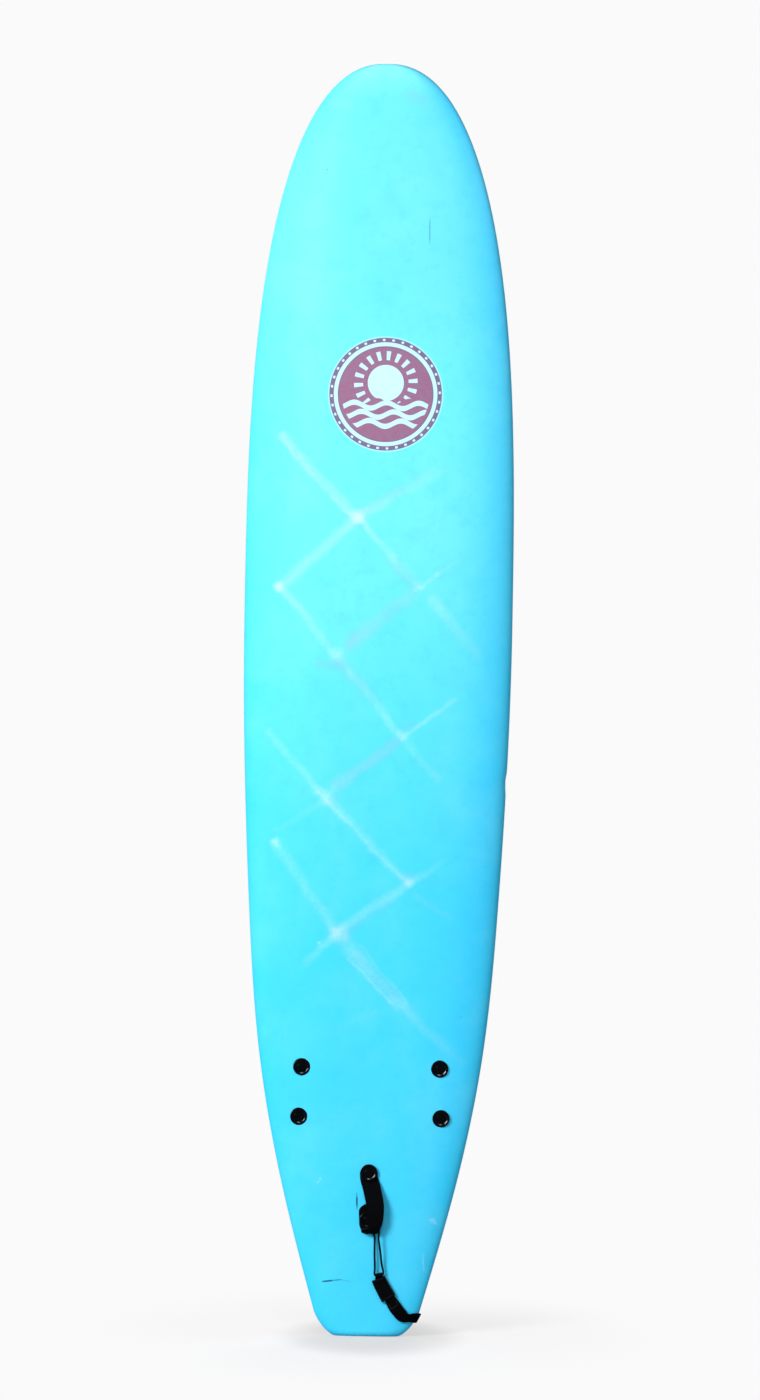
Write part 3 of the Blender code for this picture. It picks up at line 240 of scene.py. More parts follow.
class Look(Tree):
    """A material in the making, with its constants straight on the shader."""

    def __init__(self, name, colour, roughness, **constants):
        self.material = bpy.data.materials.new(name)
        self.material.use_nodes = True
        super().__init__(self.material.node_tree)
        self.shader = self.nodes.nodes["Principled BSDF"]
        self.shader.inputs["Base Color"].default_value = (*colour, 1.0)
        self.shader.inputs["Roughness"].default_value = roughness
        for socket, value in constants.items():
            self.shader.inputs[socket.replace("_", " ")].default_value = value
        self.material.diffuse_color = (*colour, 1.0)

    def place(self):
        return self.node("ShaderNodeTexCoord", output="Object")

    def parts(self, point):
        """The X, Y and Z of a vector."""
        split = self.node("ShaderNodeSeparateXYZ", [point]).value.node
        return [Wire(self, output) for output in split.outputs]

    def cloth(self):
        """The woven piece's own coordinates in metres: across it and along it."""
        return self.parts(self.node("ShaderNodeUVMap", uv_map="cloth"))[:2]

    def paint(self, colour, *coats):
        """A colour with coats over it, each given as its share and as its colour on a screen."""
        for share, coat in coats:
            colour = self.mix(share, colour, linear(coat))
        return colour

    def stretch(self, point, scale):
        return self.node("ShaderNodeMapping", {"Vector": point, "Scale": scale})

    def noise(self, point, scale, detail, roughness, output=0):
        values = {"Vector": point, "Scale": scale, "Detail": detail, "Roughness": roughness}
        return self.node("ShaderNodeTexNoise", values, output)

    def attribute(self, name):
        return self.node("ShaderNodeAttribute", output="Fac", attribute_name=name)

    def finish(self, colour, roughness, height, distance, strength):
        """Feeds the shader its colour, its roughness and its bumps, and gives the material."""
        self.feed(self.shader.inputs["Base Color"], colour)
        self.feed(self.shader.inputs["Roughness"], roughness)
        values = {"Strength": strength, "Distance": distance, "Height": height}
        self.feed(self.shader.inputs["Normal"], self.node("ShaderNodeBump", values))
        return self.material


def linear(colour):
    """Linear values of a colour that is given as it shows on a screen."""
    return tuple(c / 12.92 if c <= 0.04045 else ((c + 0.055) / 1.055) ** 2.4 for c in colour)


def lighter(colour, times, more):
    return tuple(min(c * times + more, 1.0) for c in colour)


# Shape of the board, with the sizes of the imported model

LENGTH = 2.743
WIDTH = 0.581
WIDE_POINT = 1.545
NOSE_FULLNESS = 2.9
NOSE_BLUNTNESS = 2.3
NOSE_TIP = 0.0012
TAIL_BLOCK = 0.198
WIDTH_STEP = 0.305
WIDTHS_UP = (0.367, 0.485, 0.5385)
TAIL_SPREAD = 0.290
TAIL_CORNER = 0.055
TAIL_CORNER_WIDTH = 0.032
TAIL_CORNER_POWER = 1.7
THICKNESS = 0.086
THICK_POINT = 1.40
NOSE_THICKNESS = 0.030
TAIL_THICKNESS = 0.036
TAPER_POWER = 2.2
NOSE_ROCKER = 0.115
NOSE_ROCKER_POWER = 2.6
TAIL_ROCKER = 0.055
TAIL_ROCKER_POWER = 2.2
FLAT_POINT = 1.20
NOSE_EDGE_RADIUS = 0.013
TAIL_EDGE_RADIUS = 0.012
DECK_POWER = 3.0
DECK_ROUND = 2.0
BOTTOM_POWER = 7.0
BOTTOM_ROUND = 2.2
RAIL_HEIGHT = 0.42
SKIN = 0.005
SLICK = 0.0015
RAIL_WRAP = 0.028
SLICK_TAIL = 0.022
SLICK_NOSE = 0.060
GAP = 0.0003


def cubic(knots, values, start=None, end=None):
    """A smooth curve through values at knots, with given or free slopes at its ends."""
    knots = np.asarray(knots, float)
    values = np.asarray(values, float).reshape(len(knots), -1)
    step = np.diff(knots)
    rise = np.diff(values, axis=0) / step[:, None]
    count = len(knots)
    matrix = np.zeros((count, count))
    right = np.zeros_like(values)
    for k in range(1, count - 1):
        matrix[k, k - 1 : k + 2] = step[k - 1], 2 * (step[k - 1] + step[k]), step[k]
        right[k] = 6 * (rise[k] - rise[k - 1])
    matrix[0, 0] = matrix[-1, -1] = 1.0
    if start is not None:
        matrix[0, :2] = 2 * step[0], step[0]
        right[0] = 6 * (rise[0] - start)
    if end is not None:
        matrix[-1, -2:] = step[-1], 2 * step[-1]
        right[-1] = 6 * (end - rise[-1])
    bend = np.linalg.solve(matrix, right)

    def curve(place):
        k = int(np.clip(np.searchsorted(knots, place) - 1, 0, count - 2))
        left, ahead = place - knots[k], knots[k + 1] - place
        value = (bend[k] * ahead**3 + bend[k + 1] * left**3) / (6 * step[k])
        value += (values[k] / step[k] - bend[k] * step[k] / 6) * ahead
        value += (values[k + 1] / step[k] - bend[k + 1] * step[k] / 6) * left
        return value if len(value) > 1 else float(value[0])

    return curve


def chord_knots(route):
    return np.concatenate([[0.0], np.cumsum(np.linalg.norm(np.diff(route[:, :3], axis=0), axis=1))])


def through(route, spacing, start=None, end=None):
    """Points of a smooth curve that keeps the route's own points, with more between them."""
    route = np.asarray(route, float)
    knots = chord_knots(route)
    curve = cubic(knots, route, start, end)
    places = [0.0]
    for low, high in zip(knots[:-1], knots[1:]):
        count = max(1, round((high - low) / spacing))
        places += [low + (high - low) * k / count for k in range(1, count + 1)]
    return np.array([curve(place) for place in places])


OUTLINE_TAIL = cubic(
    [0.0, WIDTH_STEP, 2 * WIDTH_STEP, 3 * WIDTH_STEP, WIDE_POINT],
    [width / 2 for width in (TAIL_BLOCK, *WIDTHS_UP, WIDTH)],
    TAIL_SPREAD,
    0.0,
)


def half_width(z):
    if z > WIDE_POINT:
        up = min((z - WIDE_POINT) / (LENGTH - WIDE_POINT), 1.0)
        return WIDTH / 2 * (1 - up**NOSE_FULLNESS) ** (1 / NOSE_BLUNTNESS)
    width = OUTLINE_TAIL(z)
    if z < TAIL_CORNER:
        turn = (1 - z / TAIL_CORNER) ** TAIL_CORNER_POWER
        width -= TAIL_CORNER_WIDTH * (1 - (1 - turn) ** (1 / TAIL_CORNER_POWER))
    return width


def thickness(z):
    nose = z > THICK_POINT
    reach = (LENGTH - THICK_POINT) if nose else THICK_POINT
    end = NOSE_THICKNESS if nose else TAIL_THICKNESS
    return THICKNESS - (THICKNESS - end) * (abs(z - THICK_POINT) / reach) ** TAPER_POWER


def bottom_line(z):
    if z > FLAT_POINT:
        rocker = NOSE_ROCKER * ((z - FLAT_POINT) / (LENGTH - FLAT_POINT)) ** NOSE_ROCKER_POWER
    else:
        rocker = TAIL_ROCKER * ((FLAT_POINT - z) / FLAT_POINT) ** TAIL_ROCKER_POWER
    return TAIL_THICKNESS / 2 + TAIL_ROCKER - rocker


class Section:
    """The board's cross-section at a station, set in by `inset`, and by `under` on its bottom side."""

    def __init__(self, station, inset=0.0, under=None):
        under = inset if under is None else under
        from_nose = LENGTH - station
        shift = inset * max(0.0, 1 - station / SLICK_TAIL) - inset * max(0.0, 1 - from_nose / SLICK_NOSE)
        self.z = station + shift
        radius = max((NOSE_EDGE_RADIUS if station > THICK_POINT else TAIL_EDGE_RADIUS) - inset, 0.001)
        near = min(station, from_nose)
        roll = 0.0 if near >= radius else radius - math.sqrt(radius**2 - (radius - near) ** 2)
        line = bottom_line(self.z)
        self.half = half_width(station) - inset
        self.bottom = line - under - roll
        self.deck = line - thickness(station) + inset + roll
        self.rail = line - RAIL_HEIGHT * thickness(station)

    def deck_at(self, x):
        share = min(abs(x) / self.half, 1.0)
        return self.rail - (self.rail - self.deck) * (1 - share**DECK_POWER) ** (1 / DECK_ROUND)

    def bottom_at(self, x):
        share = min(abs(x) / self.half, 1.0)
        return self.rail + (self.bottom - self.rail) * (1 - share**BOTTOM_POWER) ** (1 / BOTTOM_ROUND)

    def deck_point(self, turn):
        x = math.copysign(self.half * abs(math.sin(turn)) ** (2 / DECK_POWER), turn)
        return Vector((x, self.deck_at(x), self.z))

    def under_turn(self, x):
        return math.acos(min(abs(x) / self.half, 1.0) ** (BOTTOM_POWER / 2))

    def under_point(self, turn, side):
        x = side * self.half * max(math.cos(turn), 0.0) ** (2 / BOTTOM_POWER)
        return Vector((x, self.bottom_at(x), self.z))


def seam(station):
    """Where the deck skin, wrapped round the rail, meets the bottom sheet."""
    width = half_width(station)
    return width - min(RAIL_WRAP, width / 3)


def deck_y(x, z):
    return Section(z).deck_at(x)


def bottom_y(x, z):
    return Section(z).bottom_at(x)


def off_deck(x, height, z):
    """A point at a height over the deck."""
    return Vector((x, deck_y(x, z) - height, z))


# Mesh work


def squared(side, ahead):
    """A direction made square to another one."""
    return (side - ahead * side.dot(ahead)).normalized()


def headings(points):
    """The direction of a line at each of its points."""
    last = len(points) - 1
    return [(points[min(k + 1, last)] - points[max(k - 1, 0)]).normalized() for k in range(last + 1)]


def reaches(points):
    """How far along a line each of its points lies."""
    return np.concatenate([[0.0], np.cumsum([(b - a).length for a, b in zip(points, points[1:])])])


def full_turn(sides):
    return [math.tau * k / sides for k in range(sides)]


def soft_edge(soft, steps):
    """Steps round a soft edge: how far each is set in, and how far it stays below the top."""
    turns = [math.pi / 2 * k / steps for k in range(steps + 1)]
    return [(soft * (1 - math.cos(turn)), soft * (1 - math.sin(turn))) for turn in turns]


def soft_box(power, sides):
    """Places round a box with soft corners, between -1 and 1."""
    places = []
    for turn in full_turn(sides):
        a, b = math.cos(turn), math.sin(turn)
        size = (abs(a) ** power + abs(b) ** power) ** (-1 / power)
        places.append((a * size, b * size))
    return places


def frame_of(origin, along_axis, up_axis):
    """A frame whose Z is up_axis and whose X is as near along_axis as can be."""
    up = Vector(up_axis).normalized()
    ahead = squared(Vector(along_axis), up)
    side = up.cross(ahead)
    matrix = Matrix((ahead, side, up)).transposed().to_4x4()
    matrix.translation = Vector(origin)
    return matrix


def linked(name, data):
    """An object in the scene with the data given."""
    item = bpy.data.objects.new(name, data)
    bpy.context.collection.objects.link(item)
    return item


def outcome(item, *helpers):
    """The mesh of an object with its modifiers applied; the object and its helpers are removed."""
    shown = item.evaluated_get(bpy.context.evaluated_depsgraph_get())
    done = bpy.data.meshes.new_from_object(shown)
    for made in (item, *helpers):
        bpy.data.objects.remove(made)
    return done


def add_piece(name, mesh, material, body="board", sharp=40.0):
    """Puts a mesh in the scene as a finished piece that moves with a body."""
    mesh.materials.clear()
    mesh.materials.append(material)
    mesh.shade_smooth()
    mesh.set_sharp_from_angle(angle=math.radians(sharp))
    item = linked(name, mesh)
    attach(item, body)
    return item


def joined(name, meshes):
    """One mesh of several that don't touch."""
    work = bmesh.new()
    for mesh in meshes:
        work.from_mesh(mesh)
    done = bpy.data.meshes.new(name)
    work.to_mesh(done)
    work.free()
    return done


def mesh_of(name, points, faces, spots=None):
    """A mesh with outward faces; `spots` gives each point's own place on the cloth, in metres."""
    mesh = bpy.data.meshes.new(name)
    mesh.from_pydata([tuple(point) for point in points], [], faces)
    work = bmesh.new()
    work.from_mesh(mesh)
    if spots is not None:
        layer = work.loops.layers.uv.new("cloth")
        for face in work.faces:
            for loop in face.loops:
                loop[layer].uv = spots[loop.vert.index]
    bmesh.ops.recalc_face_normals(work, faces=work.faces)
    if work.calc_volume(signed=True) < 0:
        bmesh.ops.reverse_faces(work, faces=work.faces)
    work.to_mesh(mesh)
    work.free()
    return mesh


def ring_faces(rings, size, closed=True):
    """Quads between rings of points, each with `size` points."""
    faces = []
    for ring in range(rings - 1):
        for k in range(size if closed else size - 1):
            here, ahead = ring * size + k, ring * size + (k + 1) % size
            faces.append((here, ahead, ahead + size, here + size))
    return faces


def end_faces(rings, size):
    return [tuple(reversed(range(size))), tuple(range((rings - 1) * size, rings * size))]


def shell_faces(faces, count):
    """A shell's faces: a sheet's, those of the sheet `count` points on, turned over, and the rim between."""
    turned = [tuple(corner + count for corner in reversed(face)) for face in faces]
    ways = dict.fromkeys((a, b) for face in faces for a, b in zip(face, face[1:] + face[:1]))
    return faces + turned + [(b, a, a + count, b + count) for a, b in ways if (b, a) not in ways]


def loft_mesh(name, rings, spots=None):
    """A closed mesh through rings of points, with flat ends."""
    size = len(rings[0])
    faces = ring_faces(len(rings), size) + end_faces(len(rings), size)
    return mesh_of(name, [point for ring in rings for point in ring], faces, spots)


def lathe_mesh(name, profile, matrix, sides=64):
    """A turned mesh from (radius, height) places, with its axis along the matrix's Z."""
    points, faces, starts = [], [], []
    for radius, height in profile:
        starts.append(len(points))
        turns = full_turn(sides) if radius > 0 else [0.0]
        points += [matrix @ Vector((radius * math.cos(t), radius * math.sin(t), height)) for t in turns]
    starts.append(len(points))
    for low, high, end in zip(starts, starts[1:], starts[2:]):
        for k in range(sides):
            here, ahead = low + k % (high - low), low + (k + 1) % (high - low)
            above, above_ahead = high + k % (end - high), high + (k + 1) % (end - high)
            face = list(dict.fromkeys((here, ahead, above_ahead, above)))
            if len(face) > 2:
                faces.append(tuple(face))
    return mesh_of(name, points, faces)


def rod_mesh(radius, low, high, matrix, sides=32):
    return lathe_mesh("rod", [(0.0, low), (radius, low), (radius, high), (0.0, high)], matrix, sides)


def carved(mesh, cutter, operation="DIFFERENCE"):
    """The mesh with another mesh cut out of it or added to it."""
    item, tool = linked("carved", mesh), linked("cutter", cutter)
    change = item.modifiers.new("cut", "BOOLEAN")
    change.operation = operation
    change.solver = "EXACT"
    change.object = tool
    return outcome(item, tool)


def tube_mesh(name, points, radius, sides):
    """A round tube through points, with flat ends and the cloth's own places round and along it."""
    ahead = headings(points)
    side = ahead[0].orthogonal().normalized()
    turns = full_turn(sides)
    rings, spots = [], []
    for point, heading, reach in zip(points, ahead, reaches(points)):
        side = squared(side, heading)
        other = heading.cross(side)
        rings.append([point + (side * math.cos(t) + other * math.sin(t)) * radius for t in turns])
        spots += [(radius * t, reach) for t in turns]
    return loft_mesh(name, rings, spots)


def band_mesh(name, rows, across=10, edge=0.28):
    """A woven band from rows of (point, across, up, width, thickness), with softly rounded edges."""
    shares = [-1 + 2 * k / across for k in range(across + 1)]
    rings, spots = [], []
    for (point, side, up, width, thick), reach in zip(rows, reaches([row[0] for row in rows])):
        ring = []
        for face, order in ((1, shares), (-1, reversed(shares))):
            for share in order:
                fall = 1 - edge * max(0.0, (abs(share) - 0.82) / 0.18) ** 2
                ring.append(point + side * share * width / 2 + up * face * thick / 2 * fall)
                spots.append((share * width / 2, reach))
        rings.append(ring)
    return loft_mesh(name, rings, spots)


def band_rows(route, widths, thicks, sides, spacing):
    """Rows for a band along a route, with its own directions at each one."""
    knots = np.array([list(p) + [w, t] + list(side) for p, w, t, side in zip(route, widths, thicks, sides)])
    fine = through(knots, spacing)
    points = [Vector(row[:3]) for row in fine]
    rows = []
    for point, ahead, row in zip(points, headings(points), fine):
        side = squared(Vector(row[5:8]), ahead)
        rows.append((point, side, ahead.cross(side), float(row[3]), float(row[4])))
    return rows


# Deck and bottom

RAIL_BOLTS = ((0.152, 0.576), (0.1565, 0.469))
CENTRE_BOLTS = ((0.0, 0.3495), (0.0, 0.2480))
HEAD_RADIUS = 0.0184
HEAD = 0.0035
HEAD_SOFT = 0.0009
HEAD_RIM = 0.0042
HEAD_DISH = 0.0011
HEAD_PROUD = 0.0010
HEAD_ROOM = 0.0006
BOSS_RADIUS = 0.0088
SLOT_REACH = 0.0072
SLOT_HALF = 0.0011
SLOT_DEPTH = 0.0021
# How far each screw's slot is turned, in degrees
SLOT_TURNS = {
    "left_front": 12, "left_rear": 64, "right_front": -20, "right_rear": 35,
    "centre_front": 90, "centre_rear": 75,
}
SHANK_RADIUS = 0.0040
THREAD_REACH = 0.014
SLEEVE_ROOM = 0.0093
POST_RADIUS = 0.0060
POST_LENGTH = 0.030
WEBBING = 0.0385
WEBBING_THICK = 0.0022
STRAP_REST = 2 * GAP + WEBBING_THICK / 2

# Where the deck is rubbed: from one place to the next, x and z, half the width, and the strength at both ends
RUBBED_LINES = [
    ((-0.214, 1.938), (-0.052, 1.765), 0.0175, 0.42, 0.34),
    ((-0.220, 1.936), (-0.056, 1.761), 0.0070, 0.16, 0.18),
    ((-0.050, 1.768), (0.140, 1.880), 0.0200, 0.26, 0.06),
    ((-0.050, 1.768), (-0.018, 1.790), 0.0120, 0.30, 0.0),
    ((-0.052, 1.764), (-0.213, 1.617), 0.0190, 0.30, 0.28),
    ((-0.048, 1.768), (0.030, 1.680), 0.0130, 0.34, 0.22),
    ((0.030, 1.680), (0.088, 1.618), 0.0180, 0.16, 0.14),
    ((0.080, 1.613), (0.126, 1.649), 0.0090, 0.34, 0.22),
    ((0.126, 1.649), (0.165, 1.677), 0.0085, 0.20, 0.05),
    ((0.118, 1.594), (0.216, 1.473), 0.0190, 0.22, 0.10),
    ((-0.211, 1.617), (-0.093, 1.473), 0.0145, 0.28, 0.26),
    ((0.080, 1.612), (-0.085, 1.475), 0.0240, 0.14, 0.06),
    ((-0.086, 1.466), (0.055, 1.294), 0.0140, 0.10, 0.24),
    ((0.055, 1.294), (0.169, 1.378), 0.0085, 0.30, 0.14),
    ((0.060, 1.290), (0.135, 1.205), 0.0150, 0.14, 0.12),
    ((0.046, 1.288), (-0.092, 1.180), 0.0200, 0.05, 0.12),
    ((-0.232, 1.296), (-0.110, 1.165), 0.0160, 0.14, 0.22),
    ((-0.120, 1.176), (0.072, 0.980), 0.0170, 0.20, 0.16),
    ((-0.127, 1.178), (0.070, 0.981), 0.0060, 0.16, 0.10),
    ((-0.214, 1.086), (-0.108, 1.160), 0.0150, 0.05, 0.10),
    ((0.070, 0.976), (0.150, 1.030), 0.0110, 0.22, 0.04),
    ((0.074, 0.979), (-0.070, 0.880), 0.0160, 0.16, 0.20),
    ((-0.214, 1.060), (-0.080, 0.876), 0.0190, 0.14, 0.20),
    ((0.090, 0.956), (0.165, 0.905), 0.0130, 0.05, 0.06),
    ((-0.078, 0.871), (-0.143, 0.805), 0.0160, 0.24, 0.08),
    ((-0.050, 0.838), (0.060, 0.716), 0.0270, 0.20, 0.16),
    ((-0.056, 0.818), (0.046, 0.717), 0.0055, 0.10, 0.28),
    ((-0.027, 0.846), (0.077, 0.719), 0.0055, 0.06, 0.16),
    ((0.060, 0.722), (0.196, 0.592), 0.0190, 0.16, 0.04),
    ((0.005, 0.702), (-0.110, 0.640), 0.0150, 0.06, 0.0),
    ((0.122, 0.176), (0.1215, 0.143), 0.0045, 0.24, 0.20),
]
# Rubbed spots: x, z, radius and strength
RUBBED_SPOTS = [
    (-0.050, 1.768, 0.022, 0.44),
    (-0.216, 1.619, 0.018, 0.52),
    (0.090, 1.621, 0.016, 0.26),
    (-0.091, 1.471, 0.024, 0.44),
    (0.057, 1.297, 0.018, 0.34),
    (-0.106, 1.158, 0.026, 0.26),
    (-0.128, 1.178, 0.018, 0.20),
    (-0.214, 1.061, 0.013, 0.36),
    (-0.207, 1.053, 0.010, 0.26),
    (0.072, 0.984, 0.016, 0.14),
    (-0.078, 0.874, 0.030, 0.26),
    (-0.062, 0.862, 0.020, 0.16),
    (0.041, 0.727, 0.014, 0.22),
    (-0.118, 0.845, 0.005, 0.30),
    (0.139, 0.2545, 0.0095, 0.34),
    (0.145, 0.2500, 0.0050, 0.34),
    (0.133, 0.2560, 0.0045, 0.26),
    (-0.107, 0.3370, 0.0050, 0.30),
    (-0.111, 0.3310, 0.0050, 0.24),
]
# Lavender marks beside them, partly a tint and partly painted shade, with painted shade in two creases near
# the nose: from one place to the next, half the width, and the strength at both ends
BRUISE_AND_SHADE_LINES = [
    ((-0.080, 1.772), (-0.036, 1.748), 0.018, 0.22, 0.20),
    ((-0.036, 1.780), (0.100, 1.862), 0.018, 0.30, 0.10),
    ((-0.062, 1.750), (-0.190, 1.626), 0.012, 0.30, 0.14),
    ((0.030, 1.672), (0.078, 1.624), 0.020, 0.24, 0.30),
    ((0.070, 1.604), (-0.060, 1.490), 0.024, 0.26, 0.34),
    ((-0.060, 1.500), (-0.050, 1.512), 0.022, 0.40, 0.30),
    ((-0.124, 1.452), (-0.082, 1.446), 0.018, 0.34, 0.42),
    ((-0.080, 1.452), (-0.020, 1.388), 0.026, 0.34, 0.20),
    ((0.060, 1.316), (0.080, 1.322), 0.018, 0.26, 0.26),
    ((0.040, 1.280), (-0.080, 1.190), 0.022, 0.46, 0.40),
    ((-0.100, 1.150), (-0.084, 1.160), 0.018, 0.22, 0.20),
    ((0.052, 0.990), (0.074, 0.996), 0.018, 0.20, 0.24),
    ((0.030, 0.936), (-0.060, 0.872), 0.018, 0.14, 0.24),
    ((-0.080, 0.872), (-0.072, 0.866), 0.030, 0.30, 0.30),
    ((-0.040, 0.822), (0.050, 0.734), 0.018, 0.20, 0.20),
    # painted shade in two creases near the nose
    ((-0.110, 2.655), (-0.085, 2.648), 0.022, 0.30, 0.24),
    ((0.050, 2.676), (0.078, 2.668), 0.022, 0.30, 0.24),
]
# Thin dark marks: from one place to the next, half the width and the strength
THIN_MARKS = [
    ((0.0965, 2.357), (0.0958, 2.415), 0.0012, 0.50),
    ((-0.0253, 0.3120), (-0.0242, 0.2717), 0.0012, 0.80),
    ((-0.0251, 0.3040), (-0.0245, 0.2790), 0.0017, 1.10),
    ((-0.0985, 0.1165), (-0.0720, 0.1203), 0.0016, 1.10),
    ((-0.0860, 0.1185), (-0.0530, 0.1226), 0.0011, 0.85),
    ((-0.0600, 0.1222), (-0.0330, 0.1186), 0.0014, 0.26),
    ((-0.127, 2.512), (-0.1265, 2.515), 0.0015, 0.55),
    ((-0.203, 2.387), (-0.202, 2.389), 0.0014, 0.55),
    ((-0.212, 1.613), (-0.2113, 1.6135), 0.0016, 0.60),
    ((-0.086, 1.801), (-0.0855, 1.8015), 0.0012, 0.40),
    ((-0.0905, 1.465), (-0.0903, 1.4652), 0.0012, 0.55),
    ((0.082, 0.967), (0.083, 0.966), 0.0012, 0.40),
    ((0.190, 0.690), (0.196, 0.694), 0.0010, 0.30),
]
DENT_PLACE = (0.288, 1.199)
DENT_REACH = 0.016
# A point counts as on the deck within this depth of it, and this far from the board's middle
DECK_MARGIN = 0.004
DECK_REACH = 0.28


def mark_deck(mesh):
    """Stores on each point whether it lies on the deck, and how near to a rail it is; the deck's look uses
    the latter for painted shade towards the rails.
    """
    places = np.empty(len(mesh.vertices) * 3, np.float32)
    mesh.vertices.foreach_get("co", places)
    x, y, z = places.reshape(-1, 3).T
    ends = [(abs(float(a)), float(c)) for a, c in zip(x, z)]
    below = np.array([deck_y(a, c) + DECK_MARGIN if a < DECK_REACH else -math.inf for a, c in ends])
    rail = np.array([min(a / max(half_width(c), 0.02), 1.0) for a, c in ends])
    for name, values in (("deck", y < below), ("rail", rail)):
        layer = mesh.attributes.new(name, "FLOAT", "POINT")
        layer.data.foreach_set("value", values.astype(np.float32))


def fine_levels(rows):
    tail = [SLICK_TAIL * (k / 12) ** 1.6 for k in range(13)]
    corner = [SLICK_TAIL + (TAIL_CORNER - SLICK_TAIL) * k / 8 for k in range(1, 9)]
    zone = 4 * SLICK_NOSE
    body = [float(z) for z in np.linspace(TAIL_CORNER, LENGTH - zone, rows)[1:-1]]
    near = [zone * (k / 24) ** 2 for k in range(24, 12, -1)]
    near += [SLICK_NOSE * (k / 12) ** 2 for k in range(12, 1, -1)]
    return tail + corner + body + [LENGTH - place for place in near] + [LENGTH - NOSE_TIP]


UNDER_STEPS = 14
BOTTOM_STEPS = 12


def skin_ring(section, edge, columns):
    """Points round a cross-section: along the deck, round the right rail, under the board and back."""
    places = [section.half * math.sin(math.pi / 2 * k / columns) for k in range(-columns, columns + 1)]
    ring = [Vector((x, section.deck_at(x), section.z)) for x in places]
    turn = section.under_turn(edge)
    ring += [section.under_point(turn * k / UNDER_STEPS, 1) for k in range(1, UNDER_STEPS + 1)]
    for k in range(1, BOTTOM_STEPS):
        x = edge * (1 - 2 * k / BOTTOM_STEPS)
        ring.append(Vector((x, section.bottom_at(x), section.z)))
    ring += [section.under_point(turn * k / UNDER_STEPS, -1) for k in range(UNDER_STEPS, 0, -1)]
    return ring


def deck_mesh(board):
    """The soft skin: the deck, both rails and the lip under them, open where the bottom sheet lies."""
    levels = fine_levels(board.rows)
    outer = [skin_ring(Section(z), seam(z), board.columns) for z in levels]
    edges = [min(seam(z), 0.93 * Section(z, SKIN).half) for z in levels]
    inner = [skin_ring(Section(z, SKIN), edge, board.columns) for z, edge in zip(levels, edges)]
    size = len(outer[0])
    first = 2 * board.columns + UNDER_STEPS
    faces = []
    for face in ring_faces(len(levels), size):
        ring, place = divmod(face[0], size)
        sheet = levels[ring] >= SLICK_TAIL - 1e-9 and levels[ring + 1] <= LENGTH - SLICK_NOSE + 1e-9
        if not (sheet and first <= place < first + BOTTOM_STEPS):
            faces.append(face)
    faces += end_faces(len(levels), size)
    points = [point for ring in outer + inner for point in ring]
    for point in points:
        away = math.hypot(point.x - DENT_PLACE[0], point.z - DENT_PLACE[1])
        if away < 4 * DENT_REACH:
            point.x -= board.dent * math.exp(-((away / DENT_REACH) ** 2))
    return mesh_of("board_skin", points, shell_faces(faces, size * len(levels)))


def sheet_mesh(board):
    """The slick bottom sheet, which lies in the skin's opening."""
    levels = [z for z in fine_levels(board.rows) if SLICK_TAIL + GAP < z < LENGTH - SLICK_NOSE - GAP]
    levels = [SLICK_TAIL + GAP] + levels + [LENGTH - SLICK_NOSE - GAP]
    across = [math.sin(math.pi / 2 * k / 16) for k in range(-16, 17)]
    points = []
    for under in (0.0, SLICK):
        for z in levels:
            section = Section(z, 0.0, under)
            edge = seam(z) - GAP
            points += [Vector((edge * share, section.bottom_at(edge * share), z)) for share in across]
    faces = ring_faces(len(levels), len(across), closed=False)
    return mesh_of("bottom_sheet", points, shell_faces(faces, len(points) // 2))


# Fins, their screws and the places where these sit


def fin_frame(front, rear):
    """The frame of a fin's base: origin on the bottom between its bolts, X to the nose, Z off the board."""
    x, z = (front[0] + rear[0]) / 2, (front[1] + rear[1]) / 2
    step = 0.02
    along_board = Vector((0.0, bottom_y(x, z + step) - bottom_y(x, z - step), 2 * step))
    across = Vector((2 * step, bottom_y(x + step, z) - bottom_y(x - step, z), 0.0))
    normal = along_board.cross(across).normalized()
    if normal.y < 0:
        normal.negate()
    heading = Vector((front[0] - rear[0], 0.0, front[1] - rear[1]))
    return frame_of((x, bottom_y(x, z), z), heading, normal)


def surface_height(matrix, a, b, surface):
    """How far a surface of the board lies above a frame's XY plane at (a, b)."""
    height = 0.0
    for _ in range(6):
        point = matrix @ Vector((a, b, height))
        height += (surface(point.x, point.z) - point.y) / matrix.col[2].y
    return height


def fin_places():
    """Name, front and rear bolt, cant, scale and base frame of each fin."""
    front, rear = RAIL_BOLTS
    sets = [
        ("left", (-front[0], front[1]), (-rear[0], rear[1]), FIN_CANT, 1.0),
        ("right", front, rear, -FIN_CANT, 1.0),
        ("centre", *CENTRE_BOLTS, 0.0, CENTRE_FIN_SCALE),
    ]
    return [(*values, fin_frame(values[1], values[2])) for values in sets]


def bolt_frames():
    """Each bolt's name, frame, head's top and whether it holds the strap; Z runs towards the fin."""
    bolts = []
    for label, front, rear, _, _, base in fin_places():
        spacing = math.hypot(front[0] - rear[0], front[1] - rear[1])
        for end, place in (("front", spacing / 2), ("rear", -spacing / 2)):
            bolt = base @ Matrix.Translation((place, 0, 0))
            deck = surface_height(bolt, 0.0, 0.0, deck_y)
            strapped = label == "centre"
            seat = deck - HEAD_PROUD + HEAD
            if strapped:
                rim = [(HEAD_RADIUS * math.cos(turn), HEAD_RADIUS * math.sin(turn)) for turn in full_turn(12)]
                lowest = min(surface_height(bolt, a, b, deck_y) for a, b in rim)
                seat = lowest - STRAP_REST - WEBBING_THICK / 2 - 2 * GAP
            bolts.append((f"{label}_{end}", bolt, seat, strapped))
    return bolts


